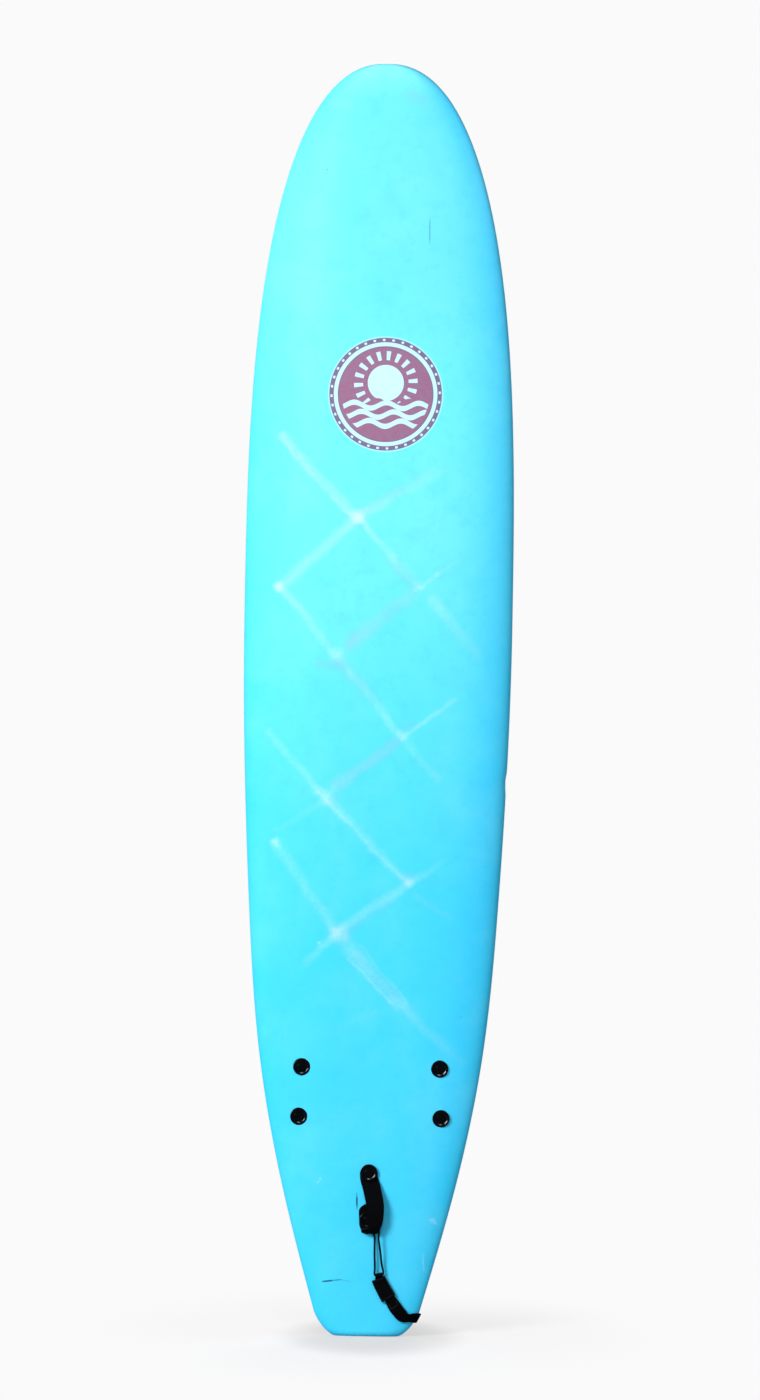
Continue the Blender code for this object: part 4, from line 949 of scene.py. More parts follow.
FIN_CHORD = 0.112
FIN_HEIGHT = 0.117
FIN_OVERHANG = 0.022
FIN_FOIL = 0.0068
FIN_TIP_FOIL = 0.0024
CENTRE_FIN_SCALE = 1.22
FIN_PLATE_LENGTH = 0.146
FIN_PLATE_WIDTH = 0.030
FIN_PLATE = 0.004
FIN_PLATE_SOFT = 0.0016
FIN_CANT = math.radians(5.0)
FIN_FLARE = 0.0035
FOIL_STEPS = 18
PLATE_END_STEPS = 14


def fin_edges(share, chord, overhang):
    """Leading and trailing edge of the blade at a share of its height."""
    tip = -(chord / 2 + overhang)
    sweep = 0.42 * share + 0.58 * (1 - math.sqrt(max(0.0, 1 - share**2)))
    lead = chord / 2 - (chord / 2 - tip) * sweep
    trail = -chord / 2 + (tip + chord / 2) * share**1.7 + 0.10 * chord * math.sin(math.pi * share)
    return lead, trail


def foil_ring(lead, trail, thick, height):
    """A leaf-shaped section from the trailing edge over one side and back along the other."""
    points = []
    for side, order in ((1, range(FOIL_STEPS + 1)), (-1, range(FOIL_STEPS - 1, 0, -1))):
        for k in order:
            share = (1 - math.cos(math.pi * k / FOIL_STEPS)) / 2
            bulge = min(1.9 * math.sqrt(1 - share + 0.0004) * share**0.55, 1.0) * thick / 2
            x = trail + (lead - trail) * share
            points.append(Vector((x, side * bulge if 0 < k < FOIL_STEPS else 0.0, height)))
    return points


def fin_mesh(name, cant, scale, base):
    """A foiled blade that flares softly into its round-ended base plate."""
    half_length, half_wide = FIN_PLATE_LENGTH * scale / 2, FIN_PLATE_WIDTH / 2
    spots = [(a * half_length, b * half_wide) for a in (-1, -0.5, 0, 0.5, 1) for b in (-1, 0, 1)]
    lift = max(surface_height(base, a, b, bottom_y) for a, b in spots) + GAP
    chord, height = FIN_CHORD * scale, FIN_HEIGHT * scale
    leaned = base @ Matrix.Translation((0, 0, lift)) @ Matrix.Rotation(cant, 4, "X")
    rings = []
    for k in range(31):
        share = 0.985 * math.sin(math.pi / 2 * k / 30) if k else 0.0
        lead, trail = fin_edges(share, chord, FIN_OVERHANG * scale)
        flare = 1 + 0.9 * math.exp(-share * height / FIN_FLARE)
        thick = (FIN_FOIL + (FIN_TIP_FOIL - FIN_FOIL) * share) * flare
        level = FIN_PLATE * 0.8 + share * (height - FIN_PLATE * 0.3)
        rings.append([leaned @ p for p in foil_ring(lead, trail, thick, level)])
    blade = loft_mesh(name, rings)
    rings = []
    reach = half_length - half_wide
    for inset, drop in [(0.0, FIN_PLATE)] + soft_edge(FIN_PLATE_SOFT, 6):
        radius, level = half_wide - inset, lift + FIN_PLATE - drop
        ring = []
        for end in (1, -1):
            for k in range(PLATE_END_STEPS + 1):
                turn = math.pi * (k / PLATE_END_STEPS - 0.5)
                across = end * radius * math.sin(turn)
                ring.append(base @ Vector((end * (reach + radius * math.cos(turn)), across, level)))
        rings.append(ring)
    return carved(blade, loft_mesh(f"{name}_plate", rings), "UNION")


def screw_mesh():
    """A moulded fin screw along Z, with a dished head, a coin slot in a raised boss and a plain shank."""
    profile = [(0.0, THREAD_REACH), (SHANK_RADIUS - 0.0008, THREAD_REACH)]
    profile += [(SHANK_RADIUS, THREAD_REACH - 0.001), (SHANK_RADIUS, 0.0)]
    profile += [(HEAD_RADIUS - 0.0004, 0.0), (HEAD_RADIUS, -0.0004)]
    profile += [(HEAD_RADIUS - inset, -HEAD + drop) for inset, drop in soft_edge(HEAD_SOFT, 6)]
    rim, dish = HEAD_RADIUS - HEAD_RIM, -HEAD + HEAD_DISH
    profile += [(rim, -HEAD), (rim - 0.0003, -HEAD + 0.0001), (rim - 0.0028, dish)]
    profile += [(BOSS_RADIUS + 0.0008, dish), (BOSS_RADIUS + 0.0004, -HEAD + 0.0006)]
    profile += [(BOSS_RADIUS, -HEAD + 0.0001), (BOSS_RADIUS * 0.6, -HEAD - 0.0001), (0.0, -HEAD - 0.0002)]
    body = lathe_mesh("screw", profile, Matrix.Identity(4), 72)
    a, b = SLOT_REACH, SLOT_HALF
    corners = [(-a, -b), (a, -b), (a, b), (-a, b)]
    slot = [[Vector((*corner, level)) for corner in corners] for level in (-HEAD - 0.001, -HEAD + SLOT_DEPTH)]
    return carved(body, loft_mesh("slot", slot))


# Strap, string, rail saver and leash

FIT = 0.0003
STRAP_PINCH = 0.020
STRAP_END = 0.016
STRING_RADIUS = 0.00225
STRING_PITCH = 0.0052
STRING_STRANDS = 4
SAVER_THICK = 0.0018
WRAP_WIDTH = 0.0340
WRAP_TOP_WIDTH = 0.0300
WRAP_SHIFT = 0.0020
WRAP_THICK = 0.0016
CORD_RADIUS = 0.0035
SWIVEL_RADIUS = 0.0068
SWIVEL_LENGTH = 0.0150
SWIVEL_LIP = 0.003
SWIVEL_SOFT = 0.0012
SWIVEL_GROOVES = (0.0045, 0.0075, 0.0105)
GROOVE_HALF = 0.0006
GROOVE_DEPTH = 0.0004
ROTOR_RADIUS = 0.0034
ROTOR_FLANGE = 0.0040
ROTOR_SHAFT = 0.0024
HORN_RADIUS = 0.0052
HORN_LENGTH = 0.0115
HORN_RIDGE = 0.00022
HORN_RIDGES = 6
MOUTH_DEPTH = 0.0045
COIL_CENTRE = (0.0, 0.088)
COIL_RADIUS = 0.0395
COIL_LOOPS = 10.25
COIL_LAYERS = 4
COIL_PITCH = 0.0076
COIL_START = math.radians(-90.0)
COIL_LIFT = 0.0019
COIL_STEPS = 40
TIE_PLACE = math.radians(20.0)
TIE_THICK = 0.0014
TIE_WIDTH = 0.018
CUFF_CENTRE = (-0.035, 0.202)
CUFF_RADII = (0.050, 0.035)
CUFF_THICK = 0.006
CUFF_WIDTH = 0.050
CUFF_SLIT = math.radians(7.0)
CUFF_JOIN = math.radians(84.0)
CUFF_SWIVEL = math.radians(262.0)
FLAP_THICK = 0.0028
FLAP_WIDTH = 0.044
FLAP_ROOT = math.radians(48.0)
FLAP_TIP = math.radians(140.0)
PULL_TAB = 0.016
PULL_TAB_LEAN = 0.25
PULL_TAB_TAPER = 0.30
CORD_ROUTE = [(0.0420, 0.0345, 0.0180), (0.0280, 0.0372, 0.0100), (0.0160, 0.0385, 0.0062)]
LEAD_ROUTE = [(-0.0485, 0.1080, 0.0278), (-0.0470, 0.1210, 0.0266)]
WRAP_ROOM = 4 * GAP
STITCH_STEP = 0.0021
WRAP_STITCH_STEP = 0.0026
SEAM_HEIGHT = 0.0655
SEAM_SIDE = 0.0088
SEAM_REACH = 0.0105
SEAM_END_STEP = 0.0017
SEAM_END_SLANT = 1.25
THREAD_LENGTH = 0.0019
THREAD_RADIUS = 0.00022
FINE_SPACING = 0.0012
CORD_SPACING = 0.003
SAVER_BACK = GAP + WRAP_THICK + WRAP_ROOM + SAVER_THICK / 2
SAVER_FLAT = 3 * GAP + SAVER_THICK / 2
SAVER_STEP = SAVER_THICK + 2 * GAP
SAVER_FOLD = STRING_RADIUS + 3 * GAP + SAVER_THICK / 2
TUNNEL = SAVER_BACK + SAVER_FOLD

# Places over the deck: x, height over the deck, z, and for the strap how near it is to its full width
STRAP_ROUTE = [
    (-0.0025, STRAP_REST, 0.2860, 1.0),
    (-0.0010, STRAP_REST, 0.2680, 1.0),
    (0.0000, STRAP_REST, 0.2480, 1.0),
    (0.0003, STRAP_REST, 0.2425, 0.98),
    (0.0010, STRAP_REST + 0.0006, 0.2365, 0.80),
    (0.0026, STRAP_REST + 0.0022, 0.2310, 0.45),
    (0.0055, 0.0066, 0.2268, 0.10),
    (0.0088, 0.0115, 0.2250, 0.0),
    (0.0118, 0.0172, 0.2290, 0.10),
    (0.0140, 0.0208, 0.2385, 0.40),
    (0.0152, 0.0222, 0.2500, 0.70),
    (0.0153, 0.0225, 0.2680, 0.92),
    (0.0143, 0.0200, 0.2880, 1.0),
    (0.0100, 0.0135, 0.3080, 1.0),
    (0.0055, 0.0065, 0.3260, 1.0),
    (0.0018, 0.0028, 0.3370, 1.0),
    (0.0004, STRAP_REST + 0.0002, 0.3440, 1.0),
    (0.0000, STRAP_REST, 0.3495, 1.0),
    (0.0000, STRAP_REST, 0.3680, 1.0),
]
STRING_ROUTE = [
    (0.0252, TUNNEL, 0.1337),
    (0.0220, TUNNEL, 0.1329),
    (0.0186, TUNNEL, 0.1327),
    (0.0165, TUNNEL + 0.0004, 0.1355),
    (0.0161, 0.0082, 0.1430),
    (0.0156, 0.0088, 0.1700),
    (0.0151, 0.0072, 0.2000),
    (0.0144, 0.0046, 0.2160),
    (0.0122, 0.0032, 0.2222),
    (0.0060, 0.0029, 0.2240),
    (-0.0030, 0.0029, 0.2244),
    (-0.0098, 0.0044, 0.2256),
    (-0.0128, 0.0072, 0.2284),
    (-0.0100, 0.0098, 0.2322),
    (-0.0030, 0.0110, 0.2338),
    (0.0080, 0.0110, 0.2338),
    (0.0185, 0.0113, 0.2338),
    (0.0232, 0.0128, 0.2318),
    (0.0242, 0.0148, 0.2262),
    (0.0232, 0.0156, 0.2180),
    (0.0246, 0.0146, 0.2040),
    (0.0288, 0.0116, 0.1760),
    (0.0328, 0.0084, 0.1500),
    (0.0347, TUNNEL + 0.0004, 0.1410),
    (0.0335, TUNNEL, 0.1366),
    (0.0300, TUNNEL, 0.1348),
    (0.0264, TUNNEL, 0.1340),
]

# The rail saver's middle line on the deck: x, z, tilt of its width, its width and its lift by the wrap.
# It starts at the fold round the string, then lies in the wrap, and goes on to the rail.
SAVER_START = [
    (0.0256, 0.1338, 0.24, 0.0140, 1.0),
]
SAVER_WRAPPED = [
    (0.0262, 0.1272, 0.36, 0.0180, 1.0),
    (0.0288, 0.1212, 0.40, 0.0205, 1.0),
    (0.0340, 0.1110, 0.46, 0.0205, 1.0),
    (0.0412, 0.0980, 0.50, 0.0212, 1.0),
    (0.0488, 0.0853, 0.53, 0.0226, 1.0),
]
SAVER_ON = [
    (0.0585, 0.0690, 0.60, 0.0275, 0.55),
    (0.0690, 0.0545, 0.80, 0.0275, 0.15),
    (0.0800, 0.0445, 1.15, 0.0250, 0.0),
    (0.0905, 0.0415, 1.45, 0.0170, 0.0),
]
# The same line round the rail: share of the way from the deck's middle over the rail to the bottom's middle
SAVER_ROUND = [
    (-0.36, 0.0415, 1.57, 0.0195, 0.0),
    (-0.22, 0.0415, 1.57, 0.0210, 0.0),
    (-0.08, 0.0415, 1.57, 0.0210, 0.0),
    (0.10, 0.0413, 1.57, 0.0210, 0.15),
    (0.28, 0.0410, 1.57, 0.0170, 0.55),
    (0.46, 0.0405, 1.57, 0.0074, 1.0),
    (0.60, 0.0400, 1.57, 0.0070, 1.0),
]
# Where the webbing starts to leave the board's bottom, and how fast it rises to the swivel
SAVER_LEAVES = 0.36
SAVER_RISE = 0.0115


def rounded_end(rows, reach):
    """Rows whose width shrinks in a half-oval over the last stretch at each end."""
    places = reaches([row[0] for row in rows])
    done = []
    for place, (point, side, up, width, thick) in zip(places, rows):
        near = min(place, places[-1] - place)
        share = math.sqrt(max(1 - (1 - min(near / reach, 1.0)) ** 2, 0.0))
        done.append((point, side, up, max(width * share, 0.30 * width), thick))
    return done


def strap_mesh(leash):
    route = [off_deck(x, height, z) for x, height, z, _ in STRAP_ROUTE]
    shares = [share for *_, share in STRAP_ROUTE]
    widths = [STRAP_PINCH + (WEBBING - STRAP_PINCH) * share for share in shares]
    thicks = [WEBBING_THICK * (1 + 0.6 * (1 - share)) for share in shares]
    rows = band_rows(route, widths, thicks, [(1, 0, 0)] * len(route), leash.spacing)
    strap = band_mesh("strap", rounded_end(rows, STRAP_END), 16)
    for _, bolt, _, strapped in bolt_frames():
        if strapped:
            deck = surface_height(bolt, 0.0, 0.0, deck_y)
            strap = carved(strap, rod_mesh(SHANK_RADIUS + FIT, deck - 0.01, deck + 0.01, bolt, 24))
    return strap


def surface_place(share, z):
    """A point on the right half of the board; share is -1 mid-deck, 0 on the rail and 1 mid-bottom."""
    section = Section(z)
    if share < 0:
        return section.deck_point(math.pi / 2 * (1 + share))
    return section.under_point(math.pi / 2 * share, 1)


def surface_axes(share, z):
    """Unit directions on the surface: across the board over the rail, and along the board."""
    across = surface_place(share + 0.02, z) - surface_place(share - 0.02, z)
    up = surface_place(share, z + 0.004) - surface_place(share, z - 0.004)
    return across.normalized(), up.normalized()


def rail_place(share, z, height):
    across, up = surface_axes(share, z)
    return surface_place(share, z) + across.cross(up).normalized() * height


def rail_side(share, z, tilt):
    """The direction of a band's width, flat on the board and turned by tilt from across it."""
    across, up = surface_axes(share, z)
    return across * math.cos(tilt) + up * math.sin(tilt)


def deck_share(x, z):
    turn = math.asin(min(x / Section(z).half, 1.0) ** (DECK_POWER / 2))
    return turn / (math.pi / 2) - 1


def on_deck(rows):
    """The same rows with the share of the way over the board in place of x."""
    return [(deck_share(x, z), z, tilt, width, lift) for x, z, tilt, width, lift in rows]


def saver_rows():
    return on_deck(SAVER_START + SAVER_WRAPPED + SAVER_ON) + SAVER_ROUND


def saver_height(row):
    """Height of the webbing's inner layer over the board."""
    lift = row[4] * (SAVER_BACK - SAVER_FLAT)
    return SAVER_FLAT + lift + max(0.0, row[0] - SAVER_LEAVES) * SAVER_RISE


def saver_band(spacing):
    """Rows of the webbing from its inner end, back to the string, round the fold and out again."""
    rows = saver_rows()
    places = [(row, saver_height(row)) for row in reversed(rows)]
    x, z, tilt, width, lift = SAVER_START[0]
    for k in range(1, 6):
        turn = math.pi * k / 6
        ahead = SAVER_FOLD * math.sin(turn)
        fold = (x - ahead * math.sin(tilt), z + ahead * math.cos(tilt), tilt, width, lift)
        places.append((on_deck([fold])[0], TUNNEL - SAVER_FOLD * math.cos(turn)))
    heights = [TUNNEL + SAVER_FOLD, SAVER_BACK + SAVER_STEP + GAP]
    heights += [saver_height(row) + SAVER_STEP for row in rows[2:]]
    places += list(zip(rows, heights))
    route = [rail_place(row[0], row[1], height) for row, height in places]
    sides = [rail_side(*row[:3]) for row, _ in places]
    return band_rows(route, [row[3] for row, _ in places], [SAVER_THICK] * len(places), sides, spacing)


def sleeve_mesh(name, stops, outline, wall):
    """A thin-walled sleeve along a line; `stops` are (point, across, up, half width, half height)."""
    points, spots = [], []
    turns = [0.0]
    half, tall = stops[0][3:]
    for (a, b), (c, d) in zip(outline, outline[1:]):
        turns.append(turns[-1] + math.hypot((c - a) * half, (d - b) * tall))
    for thin in (0.0, wall):
        for (point, across, up, half, tall), reach in zip(stops, reaches([stop[0] for stop in stops])):
            points += [point + across * a * (half - thin) + up * b * (tall - thin) for a, b in outline]
            spots += [(turn, reach) for turn in turns]
    faces = ring_faces(len(stops), len(outline))
    return mesh_of(name, points, shell_faces(faces, len(points) // 2), spots)


def wrap_stops():
    """Stops of the wrap's sleeve along the part of the webbing that it holds."""
    middle = SAVER_BACK + SAVER_STEP / 2
    knots = []
    for k, (share, z, tilt, *_) in enumerate(on_deck(SAVER_WRAPPED)):
        across = rail_side(share, z, tilt)
        width = WRAP_TOP_WIDTH + (WRAP_WIDTH - WRAP_TOP_WIDTH) * k / (len(SAVER_WRAPPED) - 1)
        knots.append([*(rail_place(share, z, middle) - across * WRAP_SHIFT), *across, width])
    fine = through(knots, FINE_SPACING)
    tall = SAVER_THICK + GAP + WRAP_ROOM + WRAP_THICK
    points = [Vector(row[:3]) for row in fine]
    stops = []
    for point, ahead, row in zip(points, headings(points), fine):
        across = squared(Vector(row[3:6]), ahead)
        stops.append((point, across, ahead.cross(across), row[6] / 2, tall))
    return stops


def wrap_outline():
    """Round the wrap: nearly flat faces and rounded edges, dense at the edges."""
    places = []
    for side in (1, -1):
        for k in range(9):
            turn = math.pi * (k / 8 - 0.5)
            places.append((side * (0.88 + 0.12 * math.cos(turn)), side * math.sin(turn)))
        for k in range(1, 8):
            places.append((side * 0.88 * (1 - 2 * k / 8), side * 1.0))
    return places


def swivel_meshes(name, base, mouth=None):
    """Meshes of a swivel's housing and of the part that turns in it."""
    cavity = SWIVEL_LENGTH - ROTOR_FLANGE - SWIVEL_LIP - 0.0002
    lip = SWIVEL_LENGTH - SWIVEL_LIP
    edge = soft_edge(SWIVEL_SOFT, 5)
    shell = [(0.0, 0.0)] + [(SWIVEL_RADIUS - drop, inset) for inset, drop in edge]
    grooved = SWIVEL_RADIUS - GROOVE_DEPTH
    for place in SWIVEL_GROOVES:
        shell += [(SWIVEL_RADIUS, place - GROOVE_HALF), (grooved, place - GROOVE_HALF / 2)]
        shell += [(grooved, place + GROOVE_HALF / 2), (SWIVEL_RADIUS, place + GROOVE_HALF)]
    shell += [(SWIVEL_RADIUS - inset, SWIVEL_LENGTH - drop) for inset, drop in edge]
    shell += [(ROTOR_SHAFT + GAP, SWIVEL_LENGTH), (ROTOR_SHAFT + GAP, lip)]
    shell += [(ROTOR_RADIUS + GAP, lip), (ROTOR_RADIUS + GAP, cavity), (0.0, cavity)]
    housing = lathe_mesh(f"{name}_housing", shell, base, 48)
    if mouth:
        outline = [(a * mouth[0], b * mouth[1]) for a, b in soft_box(8, 32)]
        rings = [[base @ Vector((a, b, h)) for a, b in outline] for h in (-0.002, mouth[2])]
        housing = carved(housing, loft_mesh("mouth", rings))
    flange, horn = lip - GAP, SWIVEL_LENGTH + GAP
    rotor = [(0.0, cavity + GAP), (ROTOR_RADIUS, cavity + GAP), (ROTOR_RADIUS, flange), (ROTOR_SHAFT, flange)]
    rotor += [(ROTOR_SHAFT, horn), (HORN_RADIUS - 0.0006, horn), (HORN_RADIUS, horn + 0.0006)]
    for k in range(25):
        share = k / 24
        radius = HORN_RADIUS + (CORD_RADIUS + 0.0009 - HORN_RADIUS) * max(0.0, share - 0.25) / 0.75
        ridge = HORN_RIDGE * math.sin(math.tau * HORN_RIDGES * max(0.0, share - 0.25) / 0.75)
        rotor.append((radius + ridge, horn + 0.001 + (HORN_LENGTH - 0.0016) * share))
    rotor += [(CORD_RADIUS + 0.0003, horn + HORN_LENGTH), (0.0, horn + HORN_LENGTH)]
    turning = lathe_mesh(f"{name}_rotor", rotor, base, 48)
    return housing, turning, base @ Vector((0, 0, horn + HORN_LENGTH + GAP))


def rail_swivel_base():
    behind, end = [rail_place(row[0], row[1], saver_height(row) + SAVER_STEP / 2) for row in SAVER_ROUND[-2:]]
    axis = (end - behind).normalized()
    return frame_of(end + axis * (4 * GAP - MOUTH_DEPTH), (0, 0, 1), axis)


def coil_points():
    """Points of the put-away cord, with a straight run of one diameter at each end."""
    span = COIL_PITCH * COIL_LOOPS / COIL_LAYERS
    per_layer = COIL_LOOPS / COIL_LAYERS
    points = []
    for k in range(round(COIL_LOOPS * COIL_STEPS) + 1):
        loops = k / COIL_STEPS
        layer = min(int(loops / per_layer), COIL_LAYERS - 1)
        share = loops / per_layer - layer
        radius = COIL_RADIUS + span * (0.5 - share if layer % 2 == 0 else share - 0.5)
        level = 0.0
        for step in range(1, COIL_LAYERS):
            rise = min(max((loops - step * per_layer) * 2 + 0.5, 0.0), 1.0)
            level += rise * rise * (3 - 2 * rise)
        turn = COIL_START - math.tau * loops
        x, y = COIL_CENTRE[0] + radius * math.cos(turn), COIL_CENTRE[1] + radius * math.sin(turn)
        points.append(Vector((x, y, COIL_LIFT + CORD_RADIUS + level * COIL_PITCH)))
    first, last = COIL_START, COIL_START - math.tau * COIL_LOOPS
    run = 2 * CORD_RADIUS
    lead_in = points[0] - Vector((math.sin(first), -math.cos(first), 0.0)) * run
    lead_out = points[-1] + Vector((math.sin(last), -math.cos(last), 0.0)) * run
    return [lead_in] + points + [lead_out]


def oval(turn, out, z):
    """A point over the cuff's outer face at an angle round it."""
    x = CUFF_CENTRE[0] + (CUFF_RADII[0] + out) * math.cos(turn)
    return Vector((x, CUFF_CENTRE[1] + (CUFF_RADII[1] + out) * math.sin(turn), z))


def cuff_normal(turn):
    return Vector((math.cos(turn) / CUFF_RADII[0], math.sin(turn) / CUFF_RADII[1], 0.0)).normalized()


def leash_line(start, aim):
    """The leash's one long cord: from the rail swivel, through the coil, to the cuff's swivel."""
    coil = coil_points()
    into, away = (coil[1] - coil[0]).normalized(), (coil[-1] - coil[-2]).normalized()
    out = cuff_normal(CUFF_SWIVEL)
    first = [start, start + aim * 2 * CORD_RADIUS] + [Vector(place) for place in CORD_ROUTE] + [coil[0]]
    free = through(first, CORD_SPACING, np.array(aim), np.array(into))
    finish = swivel_meshes("cuff_swivel", cuff_base())[2]
    last = [coil[-1]] + [Vector(place) for place in LEAD_ROUTE] + [finish]
    lead = through(last, CORD_SPACING, np.array(away), -np.array(out))
    return [Vector(p) for p in free[:-1]] + coil[:-1] + [Vector(p) for p in lead]


def cuff_base():
    out = cuff_normal(CUFF_SWIVEL)
    return frame_of(oval(CUFF_SWIVEL, 0.0, CUFF_WIDTH / 2) + out * 2 * GAP, (0, 0, 1), out)


def cuff_strip(turns, inner, outer, width, power):
    """Rings of a strip that lies round the cuff, with their points' places across and along it."""
    outline = soft_box(power, 40)
    middle, deep = (inner + outer) / 2, (outer - inner) / 2
    rings = [
        [oval(turn, middle + a * deep, (CUFF_WIDTH + b * width) / 2) for a, b in outline] for turn in turns
    ]
    along = reaches([oval(turn, 0.0, 0.0) for turn in turns])
    return rings, [(b * width / 2, reach) for reach in along for _, b in outline]


# What repeats: screws and stitches, set out by Geometry Nodes on points that carry their own turn


def spread_mesh(name, form, spots, material):
    """One mesh with a form on every (place, turn), made by a node tree that reads each point's turn."""
    cloud = bpy.data.meshes.new(f"{name}_places")
    cloud.from_pydata([tuple(place) for place, _ in spots], [], [])
    aim = cloud.attributes.new("aim", "FLOAT_VECTOR", "POINT")
    aim.data.foreach_set("vector", [part for _, turn in spots for part in turn])
    source, base = linked(f"{name}_form", form), linked(name, cloud)
    group = bpy.data.node_groups.new(f"set out {name}", "GeometryNodeTree")
    face = group.interface
    face.new_socket("Points", in_out="INPUT", socket_type="NodeSocketGeometry")
    face.new_socket("Form", in_out="INPUT", socket_type="NodeSocketObject")
    face.new_socket("Scale", in_out="INPUT", socket_type="NodeSocketFloat").default_value = 1.0
    face.new_socket("Material", in_out="INPUT", socket_type="NodeSocketMaterial")
    face.new_socket("Pieces", in_out="OUTPUT", socket_type="NodeSocketGeometry")
    tree = Tree(group)
    given = {key: tree.node("NodeGroupInput", output=key) for key in ("Points", "Form", "Scale", "Material")}
    points = tree.node("GeometryNodeMeshToPoints", {"Mesh": given["Points"]})
    shape = tree.node("GeometryNodeObjectInfo", {"Object": given["Form"]}, output="Geometry")
    reader = "GeometryNodeInputNamedAttribute"
    aims = tree.node(reader, {"Name": "aim"}, "Attribute", data_type="FLOAT_VECTOR")
    turned = tree.node("FunctionNodeEulerToRotation", {"Euler": aims})
    spread = {"Points": points, "Instance": shape, "Rotation": turned, "Scale": given["Scale"]}
    pieces = tree.node("GeometryNodeInstanceOnPoints", spread)
    pieces = tree.node("GeometryNodeRealizeInstances", {"Geometry": pieces})
    pieces = tree.node("GeometryNodeSetMaterial", {"Geometry": pieces, "Material": given["Material"]})
    tree.node("NodeGroupOutput", {"Pieces": pieces})
    change = base.modifiers.new("set out", "NODES")
    change.node_group = group
    sockets = {item.name: item.identifier for item in face.items_tree if item.in_out == "INPUT"}
    change[sockets["Form"]] = source
    change[sockets["Scale"]] = 1.0
    change[sockets["Material"]] = material
    done = outcome(base, source)
    done.name = name
    return done


def thread_mesh():
    """One stitch: a short thread along X that dips into the cloth at both ends."""
    rings = []
    for k in range(9):
        share = -1 + 2 * k / 8
        x = share * THREAD_LENGTH / 2
        turns = [(math.cos(turn), 1.1 - 1.6 * share * share + 0.8 * math.sin(turn)) for turn in full_turn(8)]
        rings.append([Vector((x, THREAD_RADIUS * a, THREAD_RADIUS * b)) for a, b in turns])
    return loft_mesh("stitch", rings)


def stitches(rows, start, end, offset, every, slant=0.0):
    """Places and turns of stitches along a band's rows, between two lengths from its start."""
    spots = []
    reach = reaches([row[0] for row in rows])
    for spot in np.arange(start, end, every):
        k = int(np.clip(np.searchsorted(reach, spot), 1, len(rows) - 1))
        share = (spot - reach[k - 1]) / (reach[k] - reach[k - 1])
        behind, (point, side, up, _, thick) = rows[k - 1][0], rows[k]
        place = behind.lerp(point, share) + side * offset + up * thick / 2
        ahead = up.cross(side) if up.cross(side).dot(point - behind) > 0 else side.cross(up)
        heading = ahead * math.cos(slant) + side * math.sin(slant)
        spots.append((place, frame_of(place, heading, up).to_euler("XYZ")))
    return spots


# Looks

PALE = (0.93, 1.0, 1.0)
MAROON = (0.655, 0.415, 0.505)
DUSK = (0.475, 0.440, 0.535)
PRINT_EDGE = 0.006
SUN_LIFT = 0.20
DRIFT = 0.030
ALONG_BOARD = (1.0, 0.0, 1.0)


def beside(look, flat, start, end):
    """Distance of each place on the deck from a straight mark, and the share of the way along the mark."""
    near, far = Vector((start[0], 0.0, start[1])), Vector((end[0], 0.0, end[1]))
    way = far - near
    pull = way / way.length_squared
    along = look.vector("DOT_PRODUCT", flat, pull, output="Value").sum("SUBTRACT", near.dot(pull), clamp=True)
    nearest = look.node("ShaderNodeVectorMath", {0: way, 3: along}, operation="SCALE")
    return look.vector("DISTANCE", flat, look.vector("ADD", nearest, near), output="Value"), along


def marked(look, flat, lines):
    """How strongly a set of soft straight marks shows at each place."""
    total = look.wire(0.0)
    for start, end, half_wide, first, last in lines:
        away, along = beside(look, flat, start, end)
        total = away.fade(half_wide, 0.0).sum("MULTIPLY_ADD", first + (last - first) * along, total)
    return total


def emblem(look, point, x, z, deck, base):
    """A plain printed disc with a sun over waves, inside a ring of short ticks."""
    up = (z - deck.emblem_height) / deck.emblem_radius
    side = (x - deck.emblem_side) / deck.emblem_radius
    reach = (side * side + up * up).root()
    angle = up.sum("ARCTAN2", side)
    ink = look.noise(point, 110.0, 5.0, 0.75)
    blots = look.noise(point, 420.0, 2.0, 0.6).fade(0.66, 0.74)
    pale = look.mix(0.70, base, linear(PALE))
    dusky = look.mix(ink.fade(0.35, 0.65) * 0.35, linear(DUSK), linear(MAROON))
    faded = (ink.fade(0.40, 0.62) * 0.75, (0.60, 0.47, 0.57))
    maroon = look.paint(linear(MAROON), faded, (blots * 0.45, (0.52, 0.27, 0.37)))
    ticks = (angle * 36.0).sine().fade(0.55, 0.75) * reach.fade(0.940, 0.946) * reach.fade(0.982, 0.976)
    inside = reach.fade(0.835 + PRINT_EDGE, 0.835 - PRINT_EDGE)
    colour = base
    for share, print_colour in (
        (reach.fade(1.030, 1.015) * 0.65, pale),
        (reach.fade(1.0 + PRINT_EDGE, 1.0 - PRINT_EDGE), dusky),
        (ticks, pale),
        (reach.fade(0.92 + PRINT_EDGE, 0.92 - PRINT_EDGE), pale),
        (reach.fade(0.855, 0.845), linear(DUSK)),
        (inside, maroon),
    ):
        colour = look.mix(share, colour, print_colour)
    high = up - SUN_LIFT
    sun = (side * side + high * high).root()
    rays = (high.sum("ARCTAN2", side) * 18.0).sine().fade(0.15, 0.45)
    rays = rays * sun.fade(0.40, 0.41) * sun.fade(0.57, 0.56)
    above = (up + 0.055 * (side * 11.0).sine()).fade(-0.135, -0.115)
    motif = sun.fade(0.325, 0.315).most(rays) * above
    for level in (-0.20, -0.36, -0.52):
        band = up + 0.050 * (side * 11.0 + level * 9.0).sine() - level
        motif = motif.most(abs(band).fade(0.052, 0.040) * reach.fade(0.79, 0.77))
    return look.mix(motif * inside, colour, pale)


